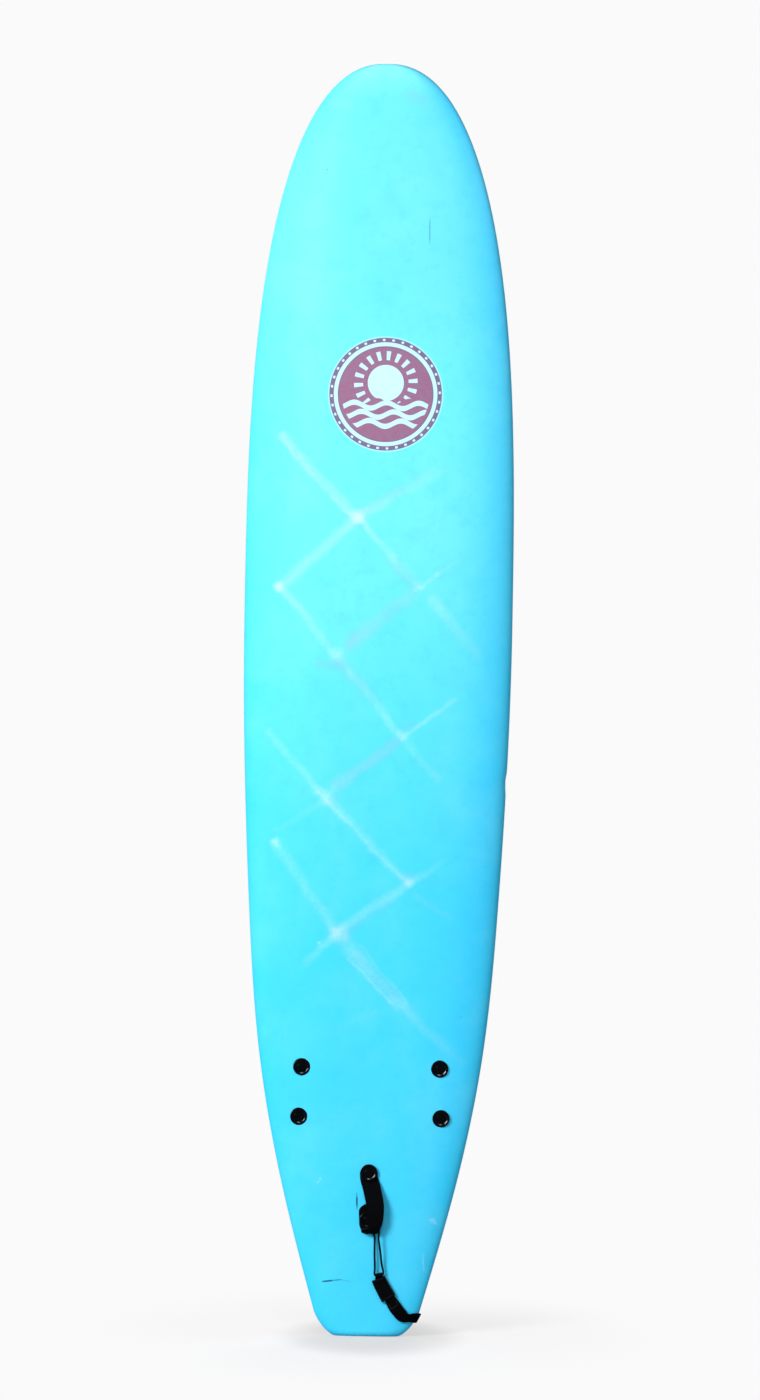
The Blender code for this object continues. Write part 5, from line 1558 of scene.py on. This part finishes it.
def deck_look(deck):
    look = Look("soft deck foam", linear(deck.middle), 0.55, Specular_IOR_Level=0.32)
    point = look.place()
    x, _, z = look.parts(point)
    cloudy, mottled = look.noise(point, 5.0, 3.0, 0.6), look.noise(point, 38.0, 4.0, 0.65)
    blotchy, wavy = look.noise(point, 13.0, 4.0, 0.6), look.noise(point, 24.0, 2.0, 0.5)
    broken, patchy = look.noise(point, 110.0, 4.0, 0.7), look.noise(point, 9.0, 3.0, 0.6)
    base = look.paint(
        look.mix(z.fade(0.75, 1.95), linear(deck.tail), linear(deck.middle)),
        # painted shade: darker over the middle and right of the deck towards the nose
        (z.fade(1.95, 2.35) * x.fade(-0.16, -0.02) * 0.60, (0.43, 0.90, 1.0)),
        (z.fade(2.66, 2.745), deck.nose),
        # painted light: paler towards the left rail on the upper deck
        (x.fade(-0.07, -0.18) * z.fade(1.80, 2.45) * 0.16, (0.74, 1.0, 1.0)),
        # painted shade: the deck turns a deeper blue towards both rails, where they round over
        (look.attribute("rail").fade(0.55, 0.97) * 0.52, (0.20, 0.86, 1.0)),
        (cloudy.fade(0.40, 0.72) * 0.14, (0.62, 0.98, 1.0)),
        (blotchy.fade(0.46, 0.70) * 0.13, (0.22, 0.82, 0.98)),
        (mottled.fade(0.46, 0.76) * 0.16, (0.16, 0.80, 0.97)),
    )
    deck_side = look.attribute("deck")
    drift = look.vector("MULTIPLY", look.noise(point, 15.0, 6.0, 0.62, output="Color"), (DRIFT, DRIFT, DRIFT))
    flat = look.vector("SUBTRACT", look.vector("ADD", point, drift), (DRIFT / 2, DRIFT / 2, DRIFT / 2))
    flat = look.vector("MULTIPLY", flat, ALONG_BOARD)
    rubbed = marked(look, flat, RUBBED_LINES)
    for px, pz, radius, strength in RUBBED_SPOTS:
        away = look.vector("DISTANCE", flat, (px, 0.0, pz), output="Value") + 0.35 * radius * (wavy - 0.5)
        rubbed = away.fade(radius, 0.0).sum("MULTIPLY_ADD", strength, rubbed)
    rubbed = rubbed * (0.26 + 0.55 * broken.fade(0.36, 0.66) + 0.60 * patchy.fade(0.30, 0.70)) * deck_side
    rubbed = rubbed / (1.0 + 0.55 * rubbed)
    bruise_and_shade = marked(look, flat, BRUISE_AND_SHADE_LINES) * (0.45 + 1.1 * wavy) * deck_side
    exact = look.vector("MULTIPLY", point, ALONG_BOARD)
    marks = look.wire(0.0)
    for start, end, wide, strength in THIN_MARKS:
        away, along = beside(look, exact, start, end)
        taper = 1.0 - (2.0 * along - 1.0) ** 4.0
        marks = (away.fade(wide * 1.7, wide * 0.3) * taper * strength).most(marks)
    colour = look.paint(
        emblem(look, point, x, z, deck, base),
        # lavender tint mixed with painted shade
        ((bruise_and_shade * 0.75).least(0.8), (0.56, 0.80, 0.97)),
        (rubbed.least(0.80), (0.86, 0.99, 1.0)),
        (marks * (0.5 + look.noise(point, 260.0, 2.0, 0.5)) * deck_side, (0.10, 0.32, 0.44)),
    )
    grain = look.noise(point, 1400.0, 2.0, 0.6)
    soft = look.noise(look.stretch(point, (1.0, 1.0, 0.55)), 26.0, 2.0, 0.5)
    creases = look.noise(look.stretch(point, (0.16, 1.0, 1.5)), 70.0, 2.0, 0.5)
    right = x.fade(0.02, 0.10) * z.fade(2.08, 2.15) * z.fade(2.42, 2.34)
    height = 0.62 * soft + 0.030 * grain + 0.22 * creases.fade(0.35, 0.75) * right - 0.20 * rubbed * broken
    return look.finish(colour, 0.50 + 0.16 * mottled + 0.12 * rubbed, height, 0.0016, 0.55)


def slick_look():
    look = Look("slick bottom sheet", (0.80, 0.84, 0.85), 0.26, Coat_Weight=0.25, Coat_Roughness=0.15)
    point = look.place()
    cloudy = look.noise(point, 4.0, 3.0, 0.6)
    scuffs = look.noise(look.stretch(point, (26.0, 26.0, 1.4)), 9.0, 4.0, 0.7)
    recoloured = scuffs.fade(0.60, 0.72) * cloudy.fade(0.40, 0.62)
    colour = look.mix(cloudy.fade(0.3, 0.7) * 0.35, (0.82, 0.85, 0.85), (0.74, 0.80, 0.82))
    colour = look.mix(recoloured * 0.45, colour, (0.52, 0.55, 0.56))
    return look.finish(colour, 0.22 + 0.10 * cloudy + 0.25 * recoloured, 0.5 * cloudy + 0.12 * scuffs, 0.0006, 0.5)


def plastic_look(name, colour, roughness, grain_size=900.0, shine=0.5):
    look = Look(name, colour, roughness, Specular_IOR_Level=shine)
    point = look.place()
    grain = look.noise(point, grain_size, 3.0, 0.6)
    cloudy = look.noise(point, 45.0, 3.0, 0.6)
    scuffs = look.noise(look.stretch(point, (1.0, 1.0, 9.0)), 60.0, 3.0, 0.6).fade(0.62, 0.74)
    recoloured = (cloudy.fade(0.4, 0.8) * 0.35 + scuffs * 0.30).least(1.0)
    dull = roughness - 0.06 + 0.14 * cloudy + 0.16 * scuffs
    colour = look.mix(recoloured, colour, lighter(colour, 2.0, 0.003))
    return look.finish(colour, dull, 0.6 * grain + 0.4 * cloudy, 0.00022, 0.55)


def webbing_look(name="black webbing", rib=0.0018, warp=0.0014, colour=(0.0010, 0.0010, 0.0013)):
    look = Look(name, colour, 0.62, Specular_IOR_Level=0.05)
    across, along = look.cloth()
    weave = across.wave(warp) * along.wave(rib)
    ribs = 0.5 + 0.5 * (along * (math.tau / rib) + 1.6 * across.wave(2 * warp)).sine()
    height = (0.5 + 0.25 * weave + 0.25 * (ribs * 2 - 1)).most(0.0)
    point = look.place()
    fuzz, cloudy = look.noise(point, 600.0, 3.0, 0.7), look.noise(point, 60.0, 3.0, 0.6)
    # painted highlight on the weave's raised threads, with cloudy patches of lighter tone
    recoloured = (height.fade(0.45, 1.0) * 0.55 + 0.35 * cloudy.fade(0.5, 0.8)).least(1.0)
    dull = 0.50 + 0.22 * fuzz + 0.10 * (1 - height)
    colour = look.mix(recoloured, colour, lighter(colour, 2.6, 0.0012))
    return look.finish(colour, dull, 0.80 * height + 0.20 * fuzz, 0.00055, 0.9)


def braid_look():
    """The string: two sets of strands that cross as they wind round it."""
    colour = (0.002, 0.002, 0.0025)
    look = Look("braided string", colour, 0.6, Specular_IOR_Level=0.10)
    around, along = look.cloth()
    wound, led = around * (STRING_STRANDS / STRING_RADIUS), along * (math.tau / STRING_PITCH)
    height = 0.5 + 0.5 * (wound + led).sine().most((wound - led).sine())
    fuzz = look.noise(look.place(), 900.0, 3.0, 0.6)
    # painted highlight on the strands' raised crossings
    strands = look.mix(height.fade(0.5, 1.0) * 0.6, colour, lighter(colour, 3.0, 0.004))
    return look.finish(strands, 0.55 + 0.16 * fuzz, 0.85 * height + 0.15 * fuzz, 0.0004, 0.9)


def cord_look():
    look = Look("leash cord", (0.010, 0.010, 0.011), 0.24, Coat_Weight=0.30, Coat_Roughness=0.12)
    point = look.place()
    cloudy = look.noise(point, 60.0, 3.0, 0.6)
    dust = look.noise(point, 700.0, 3.0, 0.7).fade(0.62, 0.80)
    colour = look.mix(dust * 0.35, (0.010, 0.010, 0.011), (0.06, 0.06, 0.065))
    return look.finish(colour, 0.18 + 0.16 * cloudy + 0.20 * dust, 0.7 * cloudy + 0.3 * dust, 0.0003, 0.4)


def neoprene_look():
    """The cuff's pad: closed foam under a fine knit."""
    look = Look("cuff pad", (0.014, 0.014, 0.015), 0.80, Sheen_Weight=0.5, Sheen_Roughness=0.5)
    across, along = look.cloth()
    knit = across.wave(0.0011) * (along * (math.tau / 0.0013) + across.wave(0.0022)).sine()
    lumps = look.noise(look.place(), 90.0, 3.0, 0.6)
    colour = look.mix(lumps.fade(0.4, 0.8) * 0.4, (0.012, 0.012, 0.013), (0.036, 0.036, 0.040))
    return look.finish(colour, 0.72 + 0.16 * lumps, 0.35 + 0.25 * knit + 0.4 * lumps, 0.0004, 0.7)


def thread_look():
    look = Look("sewing thread", (0.022, 0.022, 0.024), 0.50, Sheen_Weight=0.2)
    twist = look.noise(look.place(), 1500.0, 2.0, 0.5)
    colour = look.mix(twist, (0.016, 0.016, 0.018), (0.060, 0.060, 0.065))
    return look.finish(colour, 0.42 + 0.2 * twist, twist, 0.0001, 0.6)


def foam_look():
    look = Look("core foam", (0.86, 0.88, 0.85), 0.82)
    point = look.place()
    cells = look.node("ShaderNodeTexVoronoi", {"Vector": point, "Scale": 260.0}, output="Distance")
    colour = look.mix(cells.fade(0.35, 0.75) * 0.5, (0.88, 0.90, 0.87), (0.70, 0.73, 0.70))
    return look.finish(colour, 0.74 + 0.16 * look.noise(point, 12.0, 3.0, 0.6), 1 - cells, 0.0005, 0.6)


def wood_look():
    look = Look("stringer wood", (0.44, 0.27, 0.13), 0.60)
    point = look.place()
    grain = look.noise(look.stretch(point, (22.0, 22.0, 1.0)), 14.0, 5.0, 0.65)
    rings = 0.5 + 0.5 * (look.parts(point)[1] * 420.0 + grain * 9.0).sine()
    colour = look.mix(rings.fade(0.2, 0.9) * 0.7, (0.50, 0.32, 0.16), (0.28, 0.16, 0.07))
    return look.finish(colour, 0.52 + 0.20 * grain, 0.6 * grain + 0.4 * rings, 0.0003, 0.6)


# Operators: one for each piece or group

WHITE = (0.956, 0.956, 0.956)
GREY = (0.50, 0.50, 0.50)
BLACK = (0.0, 0.0, 0.0)
FLOOR_REACH = 6.0
FLOOR_DROP = 0.0004
SENSOR = 36.0
PICTURE = (760, 1400)
# Name, place, aim, size, power and colour
LAMPS = [
    ("key", (-4.1, -5.0, 3.3), (0.0, 0.0, 1.3), 2.8, 470.0, (0.84, 0.87, 1.0)),
    ("front", (0.2, -5.0, 4.4), (0.0, 0.0, 1.1), 1.2, 60.0, (0.84, 0.87, 1.0)),
    ("side", (3.8, -1.6, 2.4), (0.2, 0.0, 1.2), 1.6, 12.0, (0.30, 0.62, 1.0)),
    ("back", (1.2, 5.2, 3.2), (0.0, 0.0, 1.2), 2.6, 120.0, (1.0, 0.98, 0.95)),
]


def settings(context, name):
    return getattr(context.scene, name)


class SURF_OT_skin(bpy.types.Operator):
    """Soft foam skin with its wear, its painted light and shade, its print and the seats of the fin screws"""

    bl_idname = "surf.skin"
    bl_label = "Build the deck skin"

    def execute(self, context):
        board = settings(context, "surf_board")
        skin = deck_mesh(board)
        holes = []
        for _, bolt, seat, strapped in bolt_frames():
            above, below = surface_height(bolt, 0.0, 0.0, deck_y) - 0.02, 0.01
            wide, level = (SLEEVE_ROOM, above) if strapped else (HEAD_RADIUS + HEAD_ROOM, seat + GAP)
            profile = [(0.0, above), (wide, above)] + [(wide, level), (SLEEVE_ROOM, level)] * (not strapped)
            holes.append(lathe_mesh("room", [*profile, (SLEEVE_ROOM, below), (0.0, below)], bolt, 64))
        skin = carved(skin, joined("screw_rooms", holes))
        mark_deck(skin)
        item = add_piece("board_skin", skin, deck_look(settings(context, "surf_deck")), sharp=50.0)
        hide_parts("deck_skin")
        return {"FINISHED"}


class SURF_OT_sheet(bpy.types.Operator):
    """Slick sheet under the board, let into the skin"""

    bl_idname = "surf.sheet"
    bl_label = "Build the bottom sheet"

    def execute(self, context):
        sheet = sheet_mesh(settings(context, "surf_board"))
        posts = [rod_mesh(POST_RADIUS + FIT, -0.008, 0.008, bolt) for _, bolt, _, _ in bolt_frames()]
        sheet = carved(sheet, joined("post_rooms", posts))
        item = add_piece("bottom_sheet", sheet, slick_look())
        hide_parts("bottom_slick")
        return {"FINISHED"}


class SURF_OT_fins(bpy.types.Operator):
    """Three foiled fins with their base plates and posts"""

    bl_idname = "surf.fins"
    bl_label = "Build the fins"

    def execute(self, context):
        black = plastic_look("fin plastic", (0.013, 0.013, 0.014), 0.36, 1100.0)
        for name, front, rear, cant, scale, base in fin_places():
            fin = fin_mesh(f"{name}_fin", cant, scale, base)
            spacing = math.hypot(front[0] - rear[0], front[1] - rear[1])
            bolts = [base @ Matrix.Translation((place, 0, 0)) for place in (spacing / 2, -spacing / 2)]
            posts = [rod_mesh(POST_RADIUS, -POST_LENGTH, FIN_PLATE / 2, bolt) for bolt in bolts]
            low, floor = -POST_LENGTH - 0.002, -POST_LENGTH + THREAD_REACH + 2 * FIT
            bores = [rod_mesh(SHANK_RADIUS + FIT, low, floor, bolt) for bolt in bolts]
            fin = carved(carved(fin, joined("posts", posts), "UNION"), joined("bores", bores))
            item = add_piece(f"{name}_fin", fin, black, sharp=35.0)
            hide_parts(f"fin_{name}")
        return {"FINISHED"}


class SURF_OT_screws(bpy.types.Operator):
    """Six black screws with dished heads, set out on the board by one node tree"""

    bl_idname = "surf.screws"
    bl_label = "Set out the fin screws"

    def execute(self, context):
        spots, names = [], []
        for name, bolt, seat, _ in bolt_frames():
            turn = math.radians(SLOT_TURNS[name])
            placed = bolt @ Matrix.Translation((0, 0, seat)) @ Matrix.Rotation(turn, 4, "Z")
            spots.append((placed.translation, placed.to_euler("XYZ")))
            names.append(f"fin_screw_{name}")
        black = plastic_look("screw plastic", (0.0012, 0.0012, 0.0015), 0.14, 1300.0, 0.45)
        screws = spread_mesh("fin_screws", screw_mesh(), spots, black)
        item = add_piece("fin_screws", screws, black, sharp=32.0)
        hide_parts(*names)
        return {"FINISHED"}


class SURF_OT_strap(bpy.types.Operator):
    """Webbing loop under the two middle screws, and the string through it"""

    bl_idname = "surf.strap"
    bl_label = "Build the strap and its string"

    def execute(self, context):
        leash = settings(context, "surf_leash")
        item = add_piece("strap", strap_mesh(leash), webbing_look(), sharp=60.0)
        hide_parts("leash_strap")
        line = [Vector(p) for p in through([off_deck(*place) for place in STRING_ROUTE], FINE_SPACING)]
        length = float(reaches(line)[-1])
        braid = braid_look()
        string = add_piece("string", tube_mesh("string", line, STRING_RADIUS, 24), braid, sharp=60.0)
        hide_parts("leash_string")
        return {"FINISHED"}


class SURF_OT_saver(bpy.types.Operator):
    """Webbing folded over the string and led round the rail, with its hook-and-loop wrap"""

    bl_idname = "surf.saver"
    bl_label = "Build the rail saver"

    def execute(self, context):
        leash = settings(context, "surf_leash")
        rows = saver_band(leash.spacing)
        cloth = webbing_look("rail saver webbing", 0.0016, 0.0013, (0.0010, 0.0010, 0.0013))
        item = add_piece("rail_saver", band_mesh("rail_saver", rows, 14), cloth, sharp=60.0)
        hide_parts("rail_saver_webbing")
        soft = webbing_look("hook-and-loop cloth", 0.0011, 0.0010, (0.0012, 0.0012, 0.0015))
        stops = wrap_stops()
        wrap = sleeve_mesh("saver_wrap", stops, wrap_outline(), WRAP_THICK)
        wrap = add_piece("saver_wrap", wrap, soft, sharp=50.0)
        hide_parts("rail_saver_wrap")
        last = max(k for k, row in enumerate(rows) if row[0].z > SEAM_HEIGHT)
        seam_end = reaches([row[0] for row in rows])[last]
        spots = []
        for offset in (-SEAM_SIDE, SEAM_SIDE):
            spots += stitches(rows, seam_end - SEAM_REACH, seam_end, offset, STITCH_STEP)
        for offset in [SEAM_END_STEP * k for k in range(-5, 6)]:
            spots += stitches(rows, seam_end, seam_end + 0.0010, offset, STITCH_STEP, SEAM_END_SLANT)
        stops = [(point, across, up, 2 * half, 2 * tall) for point, across, up, half, tall in stops]
        far = reaches([stop[0] for stop in stops])[-1]
        edge = WRAP_WIDTH / 2 * 0.86
        for offset in (-edge, edge):
            spots += stitches(stops, 0.0022, far - 0.0020, offset, WRAP_STITCH_STEP)
        for spot in (0.0020, far - 0.0022):
            for offset in np.arange(-edge, edge + 1e-4, WRAP_STITCH_STEP):
                spots += stitches(stops, spot, spot + 0.0005, float(offset), STITCH_STEP, math.pi / 2)
        thread = thread_look()
        seams = spread_mesh("saver_seams", thread_mesh(), spots, thread)
        seams = add_piece("saver_seams", seams, thread, sharp=60.0)
        return {"FINISHED"}


class SURF_OT_leash(bpy.types.Operator):
    """Swivels, the long cord with its coil, and the tie round the coil"""

    bl_idname = "surf.leash"
    bl_label = "Build the leash"

    def execute(self, context):
        leash = settings(context, "surf_leash")
        black = plastic_look("swivel plastic", (0.015, 0.015, 0.016), 0.34, 1300.0)
        mouth = (SAVER_ROUND[-1][3] / 2 + 3 * GAP, SAVER_THICK + 5 * GAP, MOUTH_DEPTH)
        base = rail_swivel_base()
        starts = {}
        for name, matrix, opening in (("rail_swivel", base, mouth), ("cuff_swivel", cuff_base(), None)):
            housing, rotor, starts[name] = swivel_meshes(name, matrix, opening)
            item = add_piece(f"{name}_body", housing, black, sharp=40.0)
            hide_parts(f"{name}_housing")
            item = add_piece(f"{name}_horn", rotor, black, name, sharp=40.0)
            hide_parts(f"{name}_rotor")
        line = leash_line(starts["rail_swivel"], base.to_3x3() @ Vector((0, 0, 1)))
        length = float(reaches(line)[-1])
        tube = tube_mesh("cord", line, CORD_RADIUS, leash.cord_sides)
        cord = add_piece("cord", tube, cord_look(), sharp=60.0)
        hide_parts("leash_cord", "leash_coil", "cuff_lead")
        span = COIL_PITCH * COIL_LOOPS / COIL_LAYERS / 2
        near, far = COIL_RADIUS - span - CORD_RADIUS, COIL_RADIUS + span + CORD_RADIUS
        near, far = math.sqrt(near**2 - (TIE_WIDTH / 2) ** 2) - 2 * GAP, far + 2 * GAP
        high = COIL_LIFT + 2 * CORD_RADIUS + (COIL_LAYERS - 1) * COIL_PITCH + 2 * GAP
        low = COIL_LIFT - GAP
        out = Vector((math.cos(TIE_PLACE), math.sin(TIE_PLACE), 0.0))
        along = Vector((-out.y, out.x, 0.0))
        middle = Vector((*COIL_CENTRE, (high + low) / 2)) + out * (near + far) / 2
        half, tall = (far - near) / 2 + TIE_THICK, (high - low) / 2 + TIE_THICK
        places = [middle + along * TIE_WIDTH * (k / 10 - 0.5) for k in range(11)]
        stops = [(place, out, Vector((0, 0, 1)), half, tall) for place in places]
        cloth = webbing_look("tie cloth", 0.0012, 0.0011, (0.013, 0.013, 0.015))
        tie = add_piece("tie", sleeve_mesh("tie", stops, soft_box(12, 72), TIE_THICK), cloth, sharp=50.0)
        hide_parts("coil_tie")
        tuple(line[0])
        [tuple(point) for point in line]
        return {"FINISHED"}


class SURF_OT_cuff(bpy.types.Operator):
    """Padded cuff and its closing flap"""

    bl_idname = "surf.cuff"
    bl_label = "Build the ankle cuff"

    def execute(self, context):
        turns = np.linspace(CUFF_JOIN + CUFF_SLIT / 2, CUFF_JOIN - CUFF_SLIT / 2 + math.tau, 151)
        rings, spots = cuff_strip(turns, -CUFF_THICK, 0.0, CUFF_WIDTH, 5)
        pad = add_piece("cuff_pad", loft_mesh("cuff_pad", rings, spots), neoprene_look(), sharp=60.0)
        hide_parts("cuff_band")
        turns = np.linspace(FLAP_ROOT, FLAP_TIP, 61)
        rings, spots = cuff_strip(turns, GAP, GAP + FLAP_THICK, FLAP_WIDTH, 7)
        away = (rings[-1][0] - rings[-2][0]).normalized()
        off = (oval(FLAP_TIP, 0.01, 0) - oval(FLAP_TIP, 0, 0)).normalized()
        lean = (away + off * PULL_TAB_LEAN).normalized()
        tip, tip_spots = rings[-1], spots[-len(rings[-1]):]
        centre = sum(tip, Vector()) / len(tip)
        for share in np.linspace(0.0, 1.0, 13)[1:]:
            narrow = Matrix.Diagonal((1.0, 1.0, 1 - PULL_TAB_TAPER * share**2))
            rings.append([centre + narrow @ (point - centre) + lean * PULL_TAB * share for point in tip])
            spots += [(across, along + PULL_TAB * share) for across, along in tip_spots]
        cloth = webbing_look("flap cloth", 0.0014, 0.0012, (0.013, 0.013, 0.015))
        flap = loft_mesh("closing_flap", rings, spots)
        flap = add_piece("closing_flap", flap, cloth, "cuff_closure", sharp=60.0)
        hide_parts("cuff_flap")
        return {"FINISHED"}


class SURF_OT_inside(bpy.types.Operator):
    """Foam, wood and sleeve finishes on the parts inside the board"""

    bl_idname = "surf.inside"
    bl_label = "Finish the inner layers"

    def execute(self, context):
        looks = {"core": foam_look(), "stringer": wood_look()}
        looks["bolt_sleeve"] = plastic_look("sleeve plastic", (0.60, 0.62, 0.62), 0.42)
        for item in bpy.data.objects:
            for start, look in looks.items():
                if item.type == "MESH" and item.name.startswith(start):
                    item.data.materials.clear()
                    item.data.materials.append(look)
        return {"FINISHED"}


class SURF_OT_studio(bpy.types.Operator):
    """White floor, sky light, lamps and the camera"""

    bl_idname = "surf.studio"
    bl_label = "Set up the studio"

    def execute(self, context):
        studio = settings(context, "surf_studio")
        scene = context.scene
        scene.render.resolution_x, scene.render.resolution_y = PICTURE
        scene.render.resolution_percentage = 100
        scene.view_settings.view_transform = "Standard"
        build_floor()
        light_world(scene)
        for name, place, target, size, power, colour in LAMPS:
            light = bpy.data.lights.new(name, "AREA")
            light.shape = "DISK"
            light.size = size
            light.energy = power
            light.color = colour
            lamp = linked(name, light)
            lamp.location = place
            lamp.rotation_euler = (Vector(target) - Vector(place)).to_track_quat("-Z", "Y").to_euler()
        view = bpy.data.cameras.new("camera")
        view.sensor_width = SENSOR
        view.lens = SENSOR * studio.distance / studio.view
        view.clip_end = 100.0
        camera = linked("camera", view)
        camera.location = (studio.offset, -studio.distance, studio.height)
        upright = Matrix.Rotation(math.radians(90), 4, "X") @ Matrix.Rotation(studio.roll, 4, "Z")
        camera.rotation_euler = upright.to_euler()
        scene.camera = camera
        return {"FINISHED"}


def build_floor():
    """A floor that looks white, with a painted shadow round the tail."""
    mesh = bpy.data.meshes.new("floor")
    corners = [(-1, -1), (1, -1), (1, 1), (-1, 1)]
    points = [(a * FLOOR_REACH, b * FLOOR_REACH, -FLOOR_DROP) for a, b in corners]
    mesh.from_pydata(points, [], [(0, 1, 2, 3)])
    floor = linked("floor", mesh)
    look = Look("white studio floor", GREY, 1.0, Specular_IOR_Level=0.0, Emission_Strength=1.0)
    x, y, _ = look.parts(look.place())
    seen, mirrored = look.ray("Camera"), look.ray("Glossy")
    far = (x * x + y * y * 0.5).root().fade(0.26, 0.75)
    # painted shadow: an oval round the tail that darkens the floor's glow
    near = (((x - 0.012) / 0.225) ** 2.0 + ((y + 0.01) / 0.42) ** 2.0).fade(1.0, 0.12)
    colour = look.mix(mirrored, GREY, (0.08, 0.08, 0.08))
    colour = look.mix(seen, colour, (0.30, 0.26, 0.235))
    look.feed(look.shader.inputs["Base Color"], look.mix(far * seen, colour, BLACK))
    glow = look.mix(far, (0.72, 0.72, 0.72), WHITE)
    glow = look.mix(near * 0.24, glow, BLACK)
    look.feed(look.shader.inputs["Emission Color"], look.mix(seen, BLACK, glow))
    mesh.materials.append(look.material)


def light_world(scene):
    """A soft sky light that looks white, and weaker in shiny pieces."""
    world = bpy.data.worlds.new("studio")
    world.use_nodes = True
    sky = Tree(world.node_tree)
    background = world.node_tree.nodes["Background"]
    seen, mirrored = sky.ray("Camera"), sky.ray("Glossy")
    sky.feed(background.inputs["Color"], sky.mix(seen, (0.66, 0.84, 1.0), WHITE))
    sky.feed(background.inputs["Strength"], 0.24 + 0.76 * seen - 0.18 * mirrored)
    scene.world = world


class SURF_PT_board(bpy.types.Panel):
    bl_label = "Surfboard"
    bl_idname = "SURF_PT_board"
    bl_space_type = "VIEW_3D"
    bl_region_type = "UI"
    bl_category = "Surfboard"

    def draw(self, context):
        for name in SETTINGS:
            group = settings(context, name)
            box = self.layout.box()
            for key in group.__annotations__:
                box.prop(group, key)
        for operator in OPERATORS:
            self.layout.operator(operator.bl_idname)


OPERATORS = (
    SURF_OT_skin,
    SURF_OT_sheet,
    SURF_OT_fins,
    SURF_OT_screws,
    SURF_OT_strap,
    SURF_OT_saver,
    SURF_OT_leash,
    SURF_OT_cuff,
    SURF_OT_inside,
    SURF_OT_studio,
)


def register():
    for made in (*SETTINGS.values(), *OPERATORS, SURF_PT_board):
        bpy.utils.register_class(made)
    for name, group in SETTINGS.items():
        setattr(bpy.types.Scene, name, PointerProperty(type=group))


def unregister():
    for name in SETTINGS:
        delattr(bpy.types.Scene, name)
    for made in reversed((*SETTINGS.values(), *OPERATORS, SURF_PT_board)):
        bpy.utils.unregister_class(made)


def main():
    register()
    for operator in OPERATORS:
        group, name = operator.bl_idname.split(".")
        getattr(getattr(bpy.ops, group), name)()


if __name__ == "__main__":
    main()
